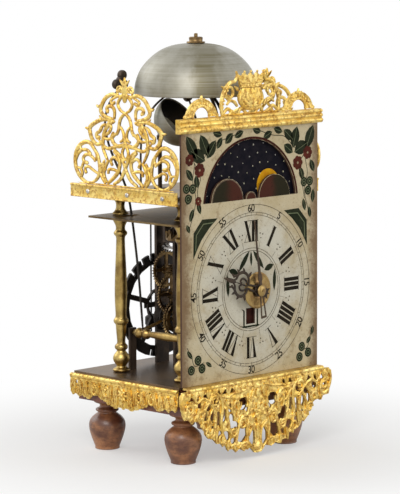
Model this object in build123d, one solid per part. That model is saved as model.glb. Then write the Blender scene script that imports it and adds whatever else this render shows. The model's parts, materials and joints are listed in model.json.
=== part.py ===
"""A chair clock movement of the Dutch posted-frame kind, piece by piece, in millimetres.

The clock stands on turned feet. X runs to the right as seen from the front, Y to the back
and Z up. The origin is on the floor, under the middle of the whole clock.
"""
import os
from math import atan2, cos, degrees, hypot, pi, radians, sin

from build123d import *

os.makedirs("parts", exist_ok=True)

# Clearances
RUN = 0.05          # radial clearance of a pivot or pipe that turns
SHAKE = 0.3         # end shake beside a wheel or an arbor
CLEAR = 0.6         # air between things that must not touch

# Stand: feet, wooden board and iron bottom plate
FOOT_H = 48.0
FOOT_R = 17.6
BOARD_T = 25.0
PLATE_T = 2.0
BASE_W = 184.4
BASE_D = 139.2
FOOT_X = 68.0
FOOT_INSET = 19.0
PLATE_TOP = FOOT_H + BOARD_T + PLATE_T

# Dial, a painted iron plate that stands in front of the plates
DIAL_W = 180.0
DIAL_H = 230.0
DIAL_T = 2.5
CHAPTER_UP = 81.0        # height of the hands' centre above the bottom plate
DIAL_HOLE_R = 4.6

# Reach of the clock before and behind the dial's face
ARBOR_TIP_OUT = 16.0
APRON_PROUD = 12.0
REAR_REACH = 147.0
FACE_Y = (ARBOR_TIP_OUT - REAR_REACH) / 2
DIAL_BACK = FACE_Y + DIAL_T
BASE_REAR = DIAL_BACK + BASE_D
CENTRE_Z = PLATE_TOP + CHAPTER_UP

# Upper plates
MOVE_UP = 146.0          # underside of the brass movement plate above the bottom plate
MOVE_T = 1.8
MOVE_D = 118.0
GALLERY_UP = 164.6
GALLERY_T = 2.0
MOVE_Z = PLATE_TOP + MOVE_UP
GALLERY_Z = PLATE_TOP + GALLERY_UP
GALLERY_TOP = GALLERY_Z + GALLERY_T

# Pillars
PILLAR_X = 66.0
PILLAR_FRONT = 24.0      # behind the dial's face
PILLAR_REAR = 105.0
PILLAR_R = 5.5
TENON_R = 3.0

# Upright bars that carry the wheels
BAR_W = 16.0
BAR_T = 3.0
FRONT_BAR = FACE_Y + 28.5     # front faces of the three bars
MIDDLE_BAR = FACE_Y + 92.0
REAR_BAR = FACE_Y + 116.5
PIVOT_R = 1.0
ARBOR_R = 1.8
WHEEL_T = 1.8

# Moon opening of the dial
MOON_UP = 159.3
MOON_ARC_R = 60.8
MOON_BASE_UP = 165.0
HUMP_X = 31.0
HUMP_R = 20.5
SMALL_HUMP_R = 6.5
MOON_DISC_R = 63.5
MOON_DISC_T = 1.2
MOON_GAP = 1.5
MOON_STUD_R = 2.0

# Going train: great wheel, centre wheel, contrate wheel and crown wheel
GREAT_TEETH, CENTRE_LEAVES, GREAT_MODULE = 58, 8, 1.25
CENTRE_TEETH, CONTRATE_LEAVES, CENTRE_MODULE = 48, 8, 0.75
CONTRATE_TEETH, CROWN_LEAVES = 40, 8
CROWN_TEETH = 15
CROWN_R = 20.0
CROWN_BACK = 84.0             # crown arbor behind the dial's face
CROWN_BAND_H = 2.0
CROWN_TOOTH_H = 5.5
CROWN_PINION_L = 5.0

# Strike train
STRIKE_UP = 44.0              # strike great arbor above the bottom plate
STRIKE_TEETH, SECOND_LEAVES = 42, 10
SECOND_TEETH, WARNING_LEAVES = 42, 10
WARNING_TEETH, FLY_LEAVES = 40, 8
STRIKE_MODULE = 0.875
PIN_COUNT = 13
PIN_RING_R = 12.0
PIN_R = 0.9
COUNT_TEETH, REPORT_LEAVES = 48, 8
COUNT_OFFSET = 11.0           # count wheel's centre above the strike great arbor
COUNT_R = 50.0
BLOWS = 78

# Motion work behind the dial
CANNON_TEETH, MOTION_TEETH = 12, 36
MOTION_LEAVES, HOUR_TEETH = 10, 40
MOTION_MODULE = 0.75
CENTRE_ARBOR_R = 1.2
CANNON_R = 2.2
HOUR_PIPE_R = 3.4

# Layers in front of the dial's face, measured forward
ALARM_OUT = 8.4
ALARM_R = 17.0
HOUR_HAND_OUT = 10.4
MINUTE_HAND_OUT = 13.2
HAND_T = 0.8
MINUTE_HAND_L = 66.0
MINUTE_TAIL_L = 28.0
HOUR_HAND_L = 50.0
MINUTE_AT = 98.0              # degrees from X, towards Z
HOUR_AT = 161.0

# Bells
BELL_BACK = 71.0              # hour bell's axis behind the dial's face
BELL_RIM_UP = 258.0
BELL_R = 58.0
BELL_H = 47.4
BELL_WALL = 1.6
SMALL_BELL_R = 25.0
SMALL_BELL_H = 24.0
SMALL_BELL_WALL = 1.2
NUT_R = 8.0
NUT_H = 5.3
STUD_R = 1.75

# Verge and pendulum
VERGE_R = 1.3
VERGE_LIFT = 4.6              # verge axis above the crown wheel's tips
PALLET_L = 4.6
PALLET_SPREAD = 50.0
PENDULUM_L = 105.0
BOB_R = 6.0
BOB_H = 13.0

# Hammers
HAMMER_X = -52.0
HAMMER_UP = 36.0
HAMMER_BACK = 90.0

# Gilt brass mounts
FRET_T = 1.8
STRIP_H = 12.5
STRIP_T = 2.6
CORNICE_H = 13.0
CORNICE_OUT = 3.6
APRON_T = 2.2
APRON_STAND = 5.0             # back of the front apron before the dial's face
SIDE_APRON_X = 95.0

# Places inside the movement, measured back from the dial's face
STRIKE_WHEEL_BACK = 97.0
PENDULUM_BACK = 13.0          # behind the rear bar
COUNT_T = 2.5
COUNT_GAP = 1.5
COUNT_RING_R = 16.0
COUNT_MODULE = 2 * COUNT_OFFSET / (COUNT_TEETH - REPORT_LEAVES)
HOUR_MODULE = (CANNON_TEETH + MOTION_TEETH) * MOTION_MODULE / (MOTION_LEAVES + HOUR_TEETH)
PULLEY_R = 13.0
PULLEY_W = 8.5
VANE_R = 5.4
CONTRATE_BAND = 2.0
CRANK_Y = FACE_Y + CROWN_BACK + CROWN_R + 1
POTENCE_T = 2.5
MOON_NOTCH = 5.0              # depth of the plates' notch for the moon disc
COCK_T = 1.5

# Opening beside the hands
WINDOW_X = -1.0
WINDOW_UP = 56.5
WINDOW_W = 12.0
WINDOW_H = 15.0

# Bell stand and small bell
LEG_ANGLES = (140, 20, 260)
LEG_R = 52.0
STRAP_T = 2.0
STRAP_W = 4.0
SMALL_BELL_AXIS = (0.19, -0.77, 0.61)
SMALL_BELL_TOP = (-10.5, FACE_Y + 104.0, PLATE_TOP + 219.0)
SMALL_HAMMER_X = 36.0
SMALL_HAMMER_BACK = 98.0
KNOB_X = 16.0
KNOB_UP = 253.0

# Hammer and detent
HAMMER_FRONT = 26.0
HAMMER_REAR = 103.0
HAMMER_ARBOR_R = 4.0
COCK_W = 2.5
STEM_R = 1.2
HEAD_FROM_AXIS = 73.5
HEAD_ANGLE = 140.0
LOCK_X = 24.0

# Mounts
FRET_D = 134.0
FRET_H = 99.0
SIDE_APRON_D = REAR_REACH
APRON_W = 204.0
PENDANT_DROP = 70.0
CREST_HALF = 38.0
CREST_H = 38.5
CREST_T = 1.8
ARCH_X = 64.0
SCREW_R = 1.2
STRIP_SCREWS = (20.0, 66.0, 118.0)

# Heights of the arbors

CONTRATE_Z = CENTRE_Z + (CENTRE_TEETH + CONTRATE_LEAVES) * CENTRE_MODULE / 2
GREAT_Z = CENTRE_Z - (GREAT_TEETH + CENTRE_LEAVES) * GREAT_MODULE / 2
MOTION_Z = CENTRE_Z - (CANNON_TEETH + MOTION_TEETH) * MOTION_MODULE / 2
CONTRATE_R = CONTRATE_TEETH * CENTRE_MODULE / 2
CROWN_PINION_Z = CONTRATE_Z + CONTRATE_R
STRIKE_Z = PLATE_TOP + STRIKE_UP
SECOND_Z = STRIKE_Z + (STRIKE_TEETH + SECOND_LEAVES) * STRIKE_MODULE / 2
WARNING_Z = SECOND_Z + (SECOND_TEETH + WARNING_LEAVES) * STRIKE_MODULE / 2
FLY_Z = WARNING_Z + (WARNING_TEETH + FLY_LEAVES) * STRIKE_MODULE / 2
COUNT_Z = STRIKE_Z + COUNT_OFFSET
CROWN_BAND_Z = CROWN_PINION_Z + CROWN_PINION_L / 2 + 1.0
CROWN_TIP_Z = CROWN_BAND_Z + CROWN_BAND_H + CROWN_TOOTH_H
VERGE_Z = CROWN_TIP_Z + VERGE_LIFT
CROWN_Y = FACE_Y + CROWN_BACK
CRANK_Z = CROWN_BAND_Z - 4
FOOT_Z = CROWN_PINION_Z - CROWN_PINION_L / 2 - 1.2 - POTENCE_T
COCK_Z = CROWN_BAND_Z + 4.0
SCREW_Z = GALLERY_Z + STRIP_H / 2


def at_y(y):
    """A drawing plane facing forward at depth y, with local x along X and local y along Z."""
    return Plane(origin=(0, y, 0), x_dir=(1, 0, 0), z_dir=(0, -1, 0))


def at_x(x):
    """A drawing plane facing right at x, with local x along Y and local y along Z."""
    return Plane(origin=(x, 0, 0), x_dir=(0, 1, 0), z_dir=(1, 0, 0))


def sheet_y(outline, y, thickness):
    """A flat piece with its front at y and its outline seen from the front."""
    return extrude(at_y(y) * outline, -thickness)


def sheet_x(outline, x, thickness):
    """A flat piece with its left face at x and its outline seen from the right."""
    return extrude(at_x(x) * outline, thickness)


def block(x0, x1, y0, y1, z0, z1):
    """A box between two corners."""
    return Pos(x0, y0, z0) * Box(x1 - x0, y1 - y0, z1 - z0, align=(Align.MIN,) * 3)


def round_face(radius, bore=False):
    """A round face with enough sides for its size; a bore's flats clear the radius."""
    sides = 8 if radius < 3 else 14 if radius < 9 else 20 if radius < 24 else 36
    return RegularPolygon(radius, sides, major_radius=not bore)


def between(start, end, radius, bore=False):
    """A round bar, or the bore for one, from one point to another."""
    start, end = Vector(*start), Vector(*end)
    plane = Plane(origin=start, z_dir=end - start)
    return extrude(plane * round_face(radius, bore), (end - start).length)


def upright(x, y, z, radius, height, bore=False):
    """A round bar, or its bore, that stands at x, y with its foot at z."""
    return between((x, y, z), (x, y, z + height), radius, bore)


def along_y(x, z, y0, y1, radius, bore=False):
    """A round bar, or its bore, that runs to the back."""
    return between((x, y0, z), (x, y1, z), radius, bore)


def pivot(start, end, radius=PIVOT_R):
    """A truly round bar for what turns in a hole, from one point to another."""
    start, end = Vector(*start), Vector(*end)
    return extrude(Plane(origin=start, z_dir=end - start) * Circle(radius), (end - start).length)


def turned(profile, sides=14):
    """A turned solid on the Z axis, from (radius, height) pairs going up."""
    rings = [Pos(0, 0, height) * RegularPolygon(radius, sides) for radius, height in profile]
    flats = [Face(flat.outer_wire()) for flat in loft(rings, ruled=True).faces()]
    return Solid(Shell(flats))


def polar(radius, angle, centre=(0, 0)):
    """A point at an angle in degrees from local x."""
    return (centre[0] + radius * cos(radians(angle)), centre[1] + radius * sin(radians(angle)))


def polygon(points):
    """A flat face inside a closed line of points."""
    return make_face(Polyline(*points, close=True))


def disc(x, z, radius):
    """A round face at local x and z."""
    return Pos(x, z) * round_face(radius)


def hole(x, z, radius):
    """A round hole's face, no flat of which comes nearer than radius."""
    return Pos(x, z) * round_face(radius, bore=True)


def bolt_circle(radius, count, start=0.0):
    """Points evenly round a circle, as x and y offsets with their angles."""
    return [(*polar(radius, start + 360 * i / count), start + 360 * i / count)
            for i in range(count)]


# Toothed wheels

ADDENDUM = 1.0       # in modules
DEDENDUM = 1.3
TOOTH_ROOT = 0.26    # half width of a wheel tooth at its root, in pitches
LEAF_ROOT = 0.2
LEAF_TIP = 0.09
SCROLL_STEP = 52       # degrees of a scroll to each of its flats


def pitch_radius(teeth, module):
    """Pitch radius of a toothed wheel."""
    return teeth * module / 2


def wheel_outline(teeth, module, toward, centre):
    """A wheel's pointed teeth, with one tooth at the angle toward."""
    pitch, radius = 360 / teeth, pitch_radius(teeth, module)
    points = []
    for i in range(teeth):
        at = toward + i * pitch
        points += [polar(radius - DEDENDUM * module, at - TOOTH_ROOT * pitch, centre),
                   polar(radius + ADDENDUM * module, at, centre),
                   polar(radius - DEDENDUM * module, at + TOOTH_ROOT * pitch, centre)]
    return polygon(points)


def pinion_outline(leaves, module, toward, centre):
    """A pinion's leaves, with one gap at the angle toward."""
    pitch, radius = 360 / leaves, pitch_radius(leaves, module)
    points = []
    for i in range(leaves):
        at = toward + (i + 0.5) * pitch
        for reach, side in ((-DEDENDUM, -LEAF_ROOT), (ADDENDUM, -LEAF_TIP),
                            (ADDENDUM, LEAF_TIP), (-DEDENDUM, LEAF_ROOT)):
            points.append(polar(radius + reach * module, at + side * pitch, centre))
    return polygon(points)


def crossings(outline, centre, rim_r, hub_r, arms, arm_w, turn=0.0):
    """Cuts the windows between a wheel's arms."""
    ring = Pos(*centre) * (RegularPolygon(rim_r, 20) - RegularPolygon(hub_r, 12))
    for i in range(arms):
        arm = Pos(*centre) * Rot(0, 0, turn + i * 360 / arms) * Rectangle(
            rim_r + 1, arm_w, align=(Align.MIN, Align.CENTER))
        ring -= arm
    return outline - ring


def spoked_wheel(teeth, module, toward, z, y, bore_r, arms=4):
    """A wheel on a Y arbor at x = 0, with arms between hub and rim."""
    radius = pitch_radius(teeth, module)
    face = wheel_outline(teeth, module, toward, (0, z))
    rim = radius - (DEDENDUM + 2.2) * module
    face = crossings(face, (0, z), rim, max(0.3 * radius, bore_r + 2), arms, 0.16 * radius)
    return sheet_y(face - hole(0, z, bore_r), y, WHEEL_T)


def pivoted(x, z, y0, y1, radius=ARBOR_R):
    """An arbor between two bars, with pivots that pass through them."""
    body = along_y(x, z, y0 + SHAKE, y1 - SHAKE, radius)
    return body + pivot((x, y0 - BAR_T - CLEAR, z), (x, y1 + BAR_T + CLEAR, z))


# Gilt scroll work

def c_scroll(x, z, radius, start, sweep, width):
    """A C-shaped scroll: an arc of strip that swells into a knob at both ends."""
    turns = max(4, round(abs(sweep) / SCROLL_STEP))
    outer, inner = [], []
    for i in range(turns + 1):
        angle = start + sweep * i / turns
        half = width * (0.9 if i in (0, turns) else 0.45)
        outer.append(polar(radius + half, angle, (x, z)))
        inner.append(polar(radius - half, angle, (x, z)))
    return polygon(outer + inner[::-1])


def leaf(x0, z0, x1, z1, bulge):
    """A pointed leaf from one point to another, bulge wide each side."""
    length = hypot(x1 - x0, z1 - z0)
    ux, uz = (x1 - x0) / length, (z1 - z0) / length
    points = [(0, 0), (0.3, 1), (0.65, 0.85), (1, 0), (0.65, -0.85), (0.3, -1)]
    return polygon([(x0 + t * length * ux - side * bulge * uz,
                     z0 + t * length * uz + side * bulge * ux) for t, side in points])


def bar(x0, z0, x1, z1, width):
    """A straight strip between two points."""
    angle = degrees(atan2(z1 - z0, x1 - x0))
    return Pos(x0, z0) * Rot(0, 0, angle) * Rectangle(
        hypot(x1 - x0, z1 - z0), width, align=(Align.MIN, Align.CENTER))


def mirrored(shapes):
    """Shapes joined with their mirror images across local x = 0."""
    half = shapes[0] + list(shapes[1:])
    return half + mirror(half, Plane.YZ)


NODES = {}


def keep(name, solid):
    """Stores a piece under its node's name."""
    NODES[name] = solid


# The stand

def foot():
    """A turned vase-shaped foot with its top at FOOT_H."""
    neck = FOOT_R * 0.4
    return turned([(FOOT_R * 0.6, 0), (FOOT_R * 0.72, 4), (FOOT_R, 22), (FOOT_R * 0.9, 31),
                   (neck, 37), (FOOT_R * 0.62, 38.5), (FOOT_R * 0.62, 41),
                   (neck, 43), (neck, FOOT_H)])


def make_stand():
    """The board, its feet and the iron bottom plate."""
    feet = [Pos(side * FOOT_X, y) * foot()
            for side in (-1, 1)
            for y in (DIAL_BACK + FOOT_INSET, BASE_REAR - FOOT_INSET)]
    keep("feet", Compound(children=feet))
    half = BASE_W / 2
    keep("base_board", block(-half + 4, half - 4, DIAL_BACK + 1, BASE_REAR - 2,
                             FOOT_H, FOOT_H + BOARD_T))
    plate = block(-half, half, DIAL_BACK, BASE_REAR, PLATE_TOP - PLATE_T, PLATE_TOP)
    keep("base_plate", plate)


# Frame

def pillar_spots():
    """The four pillars' names and places."""
    return [(f"pillar_{end}_{side}", sign * PILLAR_X, FACE_Y + back)
            for side, sign in (("left", -1), ("right", 1))
            for end, back in (("front", PILLAR_FRONT), ("rear", PILLAR_REAR))]


def pillar():
    """A turned pillar between the bottom plate and the brass plate, with its foot at 0."""
    r = PILLAR_R
    top = MOVE_UP
    return turned([(1.5 * r, 0), (1.5 * r, 3), (0.8 * r, 6), (1.5 * r, 12), (0.7 * r, 20),
                   (1.15 * r, 24), (0.75 * r, 29), (0.95 * r, 45), (1.3 * r, 48), (0.95 * r, 51),
                   (r, 82), (0.75 * r, 128), (1.25 * r, 131), (0.8 * r, 135),
                   (1.4 * r, top)], sides=10)


def upper_pillar():
    """The short turned piece between the two upper plates."""
    r = PILLAR_R
    low, high = MOVE_UP + MOVE_T, GALLERY_UP
    return turned([(1.5 * r, low), (0.75 * r, low + 5), (0.75 * r, high - 3), (1.2 * r, high)],
                  sides=10)


def upright_bar(y, arbors):
    """A bar between the plates with its front at y, drilled at each (height, radius)."""
    outline = Pos(0, PLATE_TOP) * Rectangle(BAR_W, MOVE_UP, align=(Align.CENTER, Align.MIN))
    for z, radius in arbors:
        outline -= hole(0, z, radius + RUN)
    return sheet_y(outline, y, BAR_T)


def middle_bar():
    """The middle bar, cranked back below the crown wheel so that the wheel can turn."""
    lower = upright_bar(MIDDLE_BAR, [(z, PIVOT_R) for z in (
        GREAT_Z, CENTRE_Z, CONTRATE_Z, STRIKE_Z, SECOND_Z, WARNING_Z, FLY_Z)])
    lower -= block(-BAR_W, BAR_W, MIDDLE_BAR - 1, MIDDLE_BAR + 9, CRANK_Z, MOVE_Z + 1)
    step = block(-BAR_W / 2, BAR_W / 2, MIDDLE_BAR, CRANK_Y + BAR_T, CRANK_Z, CRANK_Z + 2)
    upper = upright_bar(CRANK_Y, [(VERGE_Z, VERGE_R)])
    upper -= block(-BAR_W, BAR_W, CRANK_Y - 1, CRANK_Y + 9, PLATE_TOP - 1, CRANK_Z)
    return lower + step + upper


def make_frame():
    """Pillars, upper plates and the bars that hold the wheels."""
    holes = []
    for name, x, y in pillar_spots():
        core = upright(0, 0, MOVE_UP, TENON_R, MOVE_T)
        tip = upright(0, 0, GALLERY_UP, TENON_R, GALLERY_T + 3.5)
        keep(name, Pos(x, y, PLATE_TOP) * (pillar() + core + upper_pillar() + tip))
        holes.append(upright(x, y, MOVE_Z - 1, TENON_R, GALLERY_TOP - MOVE_Z + 2, bore=True))
    half = BASE_W / 2
    slot = block(HAMMER_X - 30, HAMMER_X - 4, FACE_Y + HAMMER_BACK - 2.5,
                 FACE_Y + HAMMER_BACK + 6, MOVE_Z - 1, GALLERY_TOP + 1)
    notch_w = MOON_DISC_R + 2
    notch = block(-notch_w, notch_w, DIAL_BACK - 1, DIAL_BACK + MOON_NOTCH, MOVE_Z - 1,
                  GALLERY_TOP + 1)
    holes += [slot, notch]
    brass = block(-half, half, DIAL_BACK, DIAL_BACK + MOVE_D, MOVE_Z, MOVE_Z + MOVE_T)
    iron = block(-half, half, DIAL_BACK, BASE_REAR, GALLERY_Z, GALLERY_TOP)
    keep("movement_plate", brass - holes)
    keep("gallery_plate", iron - holes)
    nuts = [Pos(x, y, GALLERY_TOP) * extrude(
        RegularPolygon(2 * TENON_R, 4) - round_face(TENON_R, bore=True), 3)
        for _, x, y in pillar_spots()]
    keep("pillar_nuts", Compound(children=nuts))

    keep("front_bar", upright_bar(FRONT_BAR, [(GREAT_Z, PIVOT_R), (CENTRE_Z, CENTRE_ARBOR_R),
                                              (CONTRATE_Z, PIVOT_R)])
         + pivot((0, FRONT_BAR - 12, MOTION_Z), (0, FRONT_BAR, MOTION_Z)))
    keep("middle_bar", middle_bar())
    keep("rear_bar", upright_bar(REAR_BAR, [(STRIKE_Z, ARBOR_R), (SECOND_Z, PIVOT_R),
                                            (WARNING_Z, PIVOT_R), (FLY_Z, PIVOT_R),
                                            (VERGE_Z, VERGE_R)])
         + pivot((0, REAR_BAR + BAR_T, COUNT_Z), (0, REAR_BAR + BAR_T + 9, COUNT_Z), ARBOR_R))


def make_dial():
    """The dial plate with its moon opening, window and the stud that carries the moon."""
    moon_z = PLATE_TOP + MOON_UP
    base_z = PLATE_TOP + MOON_BASE_UP
    plate = Pos(0, PLATE_TOP) * Rectangle(DIAL_W, DIAL_H, align=(Align.CENTER, Align.MIN))
    opening = disc(0, moon_z, MOON_ARC_R) - Pos(0, base_z) * Rectangle(
        2 * DIAL_W, DIAL_H, align=(Align.CENTER, Align.MAX))
    for x in (-HUMP_X, HUMP_X):
        opening -= hole(x, base_z, HUMP_R)
    opening -= hole(0, base_z, SMALL_HUMP_R)
    window = Pos(WINDOW_X, PLATE_TOP + WINDOW_UP) * Rectangle(WINDOW_W, WINDOW_H)
    face = plate - opening - window - hole(0, CENTRE_Z, DIAL_HOLE_R)
    head_y = DIAL_BACK + MOON_GAP + MOON_DISC_T + SHAKE
    stud = pivot((0, DIAL_BACK, moon_z), (0, head_y, moon_z), MOON_STUD_R)
    head = along_y(0, moon_z, head_y, head_y + 1, 3.4)
    keep("dial_plate", sheet_y(face, FACE_Y, DIAL_T) + stud + head)
    moon = disc(0, moon_z, MOON_DISC_R) - hole(0, moon_z, MOON_STUD_R + RUN)
    keep("moon_disc", sheet_y(moon, DIAL_BACK + MOON_GAP, MOON_DISC_T))


# Motion work and hands

def make_motion_work():
    """Cannon pinion, reversing wheel, hour wheel and the alarm disc."""
    y = FRONT_BAR - SHAKE
    down = -90
    cannon = sheet_y(pinion_outline(CANNON_TEETH, MOTION_MODULE, down, (0, CENTRE_Z)), y - 4, 4)
    cannon += pivot((0, FACE_Y - MINUTE_HAND_OUT - 1.2, CENTRE_Z), (0, y - 3, CENTRE_Z), CANNON_R)
    cannon -= along_y(0, CENTRE_Z, FACE_Y - 30, y + 5, CENTRE_ARBOR_R + RUN, bore=True)
    keep("cannon_pinion", cannon)
    wheel = wheel_outline(MOTION_TEETH, MOTION_MODULE, 90, (0, MOTION_Z))
    wheel -= hole(0, MOTION_Z, PIVOT_R + RUN)
    leaves = pinion_outline(MOTION_LEAVES, HOUR_MODULE, 90, (0, MOTION_Z))
    leaves -= hole(0, MOTION_Z, PIVOT_R + RUN)
    keep("motion_wheel", sheet_y(wheel, y - 3, WHEEL_T) + sheet_y(leaves, y - 8, 5))
    hour = wheel_outline(HOUR_TEETH, HOUR_MODULE, down, (0, CENTRE_Z))
    hour = sheet_y(hour, y - 7.5, WHEEL_T)
    hour += pivot((0, FACE_Y - HOUR_HAND_OUT, CENTRE_Z), (0, y - 7, CENTRE_Z), HOUR_PIPE_R)
    hour -= along_y(0, CENTRE_Z, FACE_Y - 30, y + 5, CANNON_R + RUN, bore=True)
    keep("hour_wheel", hour)
    alarm = sheet_y(disc(0, CENTRE_Z, ALARM_R), FACE_Y - ALARM_OUT, 1.0)
    alarm += along_y(0, CENTRE_Z, FACE_Y - ALARM_OUT, FACE_Y - ALARM_OUT + 4, 5.5)
    alarm -= along_y(0, CENTRE_Z, FACE_Y - 30, FACE_Y, HOUR_PIPE_R + RUN, bore=True)
    keep("alarm_disc", alarm)


def make_hands():
    """The slender minute hand and the pierced hour hand, at the time they show."""
    tip = polygon([(3, -1.6), (MINUTE_HAND_L, -0.35), (MINUTE_HAND_L, 0.35), (3, 1.6)])
    minute = disc(0, 0, 4.2) + tip + leaf(6, 0, 20, 0, 2.6)
    for side in (-1, 1):
        minute += bar(-2, side * 1.5, -MINUTE_TAIL_L + 4, side * 2.8, 1.1)
    minute += Pos(-MINUTE_TAIL_L + 3, 0) * Rectangle(2, 6.8)
    minute -= hole(0, 0, CANNON_R)
    keep("minute_hand", sheet_y(Pos(0, CENTRE_Z) * Rot(0, 0, MINUTE_AT) * minute,
                                FACE_Y - MINUTE_HAND_OUT, HAND_T))
    hour = [disc(0, 0, 6.0), bar(4, 0, HOUR_HAND_L - 12, 0, 2.0),
            leaf(HOUR_HAND_L - 16, 0, HOUR_HAND_L, 0, 2.4),
            leaf(-16, 0, -3, 0, 2.6)]
    for side in (-1, 1):
        hour += [c_scroll(14, side * 4.6, 4.0, -side * 200, side * 230, 1.3),
                 c_scroll(24, side * 3.6, 3.0, -side * 200, side * 240, 1.2),
                 leaf(26, 0, 36, side * 5, 1.4)]
    hour = hour[0] + hour[1:]
    hour -= hole(0, 0, HOUR_PIPE_R)
    keep("hour_hand", sheet_y(Pos(0, CENTRE_Z) * Rot(0, 0, HOUR_AT) * hour,
                              FACE_Y - HOUR_HAND_OUT, HAND_T))


# Going train

def rope_pulley(z, y, bore_r):
    """A rope pulley with a V groove and spikes that grip the rope."""
    half = PULLEY_W / 2
    wheel = turned([(PULLEY_R, -half), (PULLEY_R, -half + 1), (PULLEY_R - 4, 0),
                    (PULLEY_R, half - 1), (PULLEY_R, half)], sides=18)
    wheel -= upright(0, 0, -PULLEY_W, bore_r, 2 * PULLEY_W, bore=True)
    spikes = [Pos(x, w, 0) * Rot(0, 0, a) * Box(3.4, 1.2, 1.2)
              for x, w, a in bolt_circle(PULLEY_R - 2.6, 6)]
    wheel = wheel + spikes
    return Pos(0, y, z) * Rot(90, 0, 0) * wheel


def make_going_train():
    """The wheels from the rope pulley up to the crown wheel."""
    keep("going_great_wheel",
         spoked_wheel(GREAT_TEETH, GREAT_MODULE, 90, GREAT_Z, FRONT_BAR + BAR_T + 4, ARBOR_R))
    keep("going_great_arbor", pivoted(0, GREAT_Z, FRONT_BAR + BAR_T, MIDDLE_BAR))
    pulley_y = FRONT_BAR + BAR_T + 4 + WHEEL_T + SHAKE + PULLEY_W / 2
    keep("going_pulley", rope_pulley(GREAT_Z, pulley_y, ARBOR_R + RUN))

    leaves = pinion_outline(CENTRE_LEAVES, GREAT_MODULE, -90, (0, CENTRE_Z))
    arbor = sheet_y(leaves, FRONT_BAR + BAR_T + 2.5, 5)
    arbor += along_y(0, CENTRE_Z, FRONT_BAR + BAR_T + SHAKE, MIDDLE_BAR - SHAKE, ARBOR_R)
    arbor += pivot((0, MIDDLE_BAR - 1, CENTRE_Z), (0, MIDDLE_BAR + BAR_T + CLEAR, CENTRE_Z))
    arbor += pivot((0, FACE_Y - ARBOR_TIP_OUT, CENTRE_Z), (0, FRONT_BAR + BAR_T + 1, CENTRE_Z),
                   CENTRE_ARBOR_R)
    centre_y = CROWN_Y - 16
    wheel = spoked_wheel(CENTRE_TEETH, CENTRE_MODULE, 90, CENTRE_Z, centre_y, ARBOR_R - 0.5)
    keep("centre_wheel", arbor + wheel)

    arbor = sheet_y(pinion_outline(CONTRATE_LEAVES, CENTRE_MODULE, -90, (0, CONTRATE_Z)),
                    centre_y - 1.6, 5)
    arbor += pivoted(0, CONTRATE_Z, FRONT_BAR + BAR_T, MIDDLE_BAR)
    keep("contrate_wheel", contrate_wheel() + arbor)

    crown = toothed_crown(CROWN_TEETH, CROWN_R, 2.2, CROWN_TOOTH_H, CROWN_BAND_H, lean=0.46)
    pinion = pinion_outline(CROWN_LEAVES, CENTRE_MODULE, -90, (0, 0))
    low = CROWN_PINION_Z - CROWN_PINION_L / 2
    arbor = Pos(0, CROWN_Y, low) * extrude(pinion, CROWN_PINION_L)
    arbor += upright(0, CROWN_Y, FOOT_Z + POTENCE_T + SHAKE, ARBOR_R,
                     COCK_Z - SHAKE - FOOT_Z - POTENCE_T - SHAKE)
    arbor += pivot((0, CROWN_Y, FOOT_Z - CLEAR), (0, CROWN_Y, COCK_Z + COCK_T + CLEAR))
    keep("crown_wheel", Pos(0, CROWN_Y, CROWN_BAND_Z) * crown + arbor)


def toothed_crown(teeth, radius, wall, tooth_h, band_h, lean):
    """A flat wheel with teeth that stand up from its rim; lean shifts each tooth's tip."""
    band = round_face(radius) - round_face(radius - wall)
    for i in range(4):
        band += Rot(0, 0, i * 90 + 45) * Rectangle(radius - wall / 2, wall,
                                                   align=(Align.MIN, Align.CENTER))
    band += round_face(0.28 * radius)
    width = 2 * pi * radius / teeth * 0.42
    tooth = polygon([(-width, band_h - 0.01), (width, band_h - 0.01),
                     (lean * 2 * width, band_h + tooth_h)])
    prism = extrude(Plane.YZ * tooth, wall * 0.8)
    prisms = [Rot(0, 0, 360 * i / teeth) * Pos(radius - wall * 0.9, 0, 0) * prism
              for i in range(teeth)]
    return extrude(band, band_h) + prisms


def contrate_wheel():
    """The contrate wheel: its teeth point back at the crown wheel's pinion."""
    tooth_h = (ADDENDUM + DEDENDUM) * CENTRE_MODULE
    wheel = toothed_crown(CONTRATE_TEETH, CONTRATE_R + 1, 2, tooth_h, CONTRATE_BAND, lean=0)
    pitch_y = CROWN_Y - pitch_radius(CROWN_LEAVES, CENTRE_MODULE)
    back = pitch_y - DEDENDUM * CENTRE_MODULE - CONTRATE_BAND
    return Plane(origin=(0, back, CONTRATE_Z), x_dir=(0, 0, 1), z_dir=(0, 1, 0)) * wheel


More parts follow.
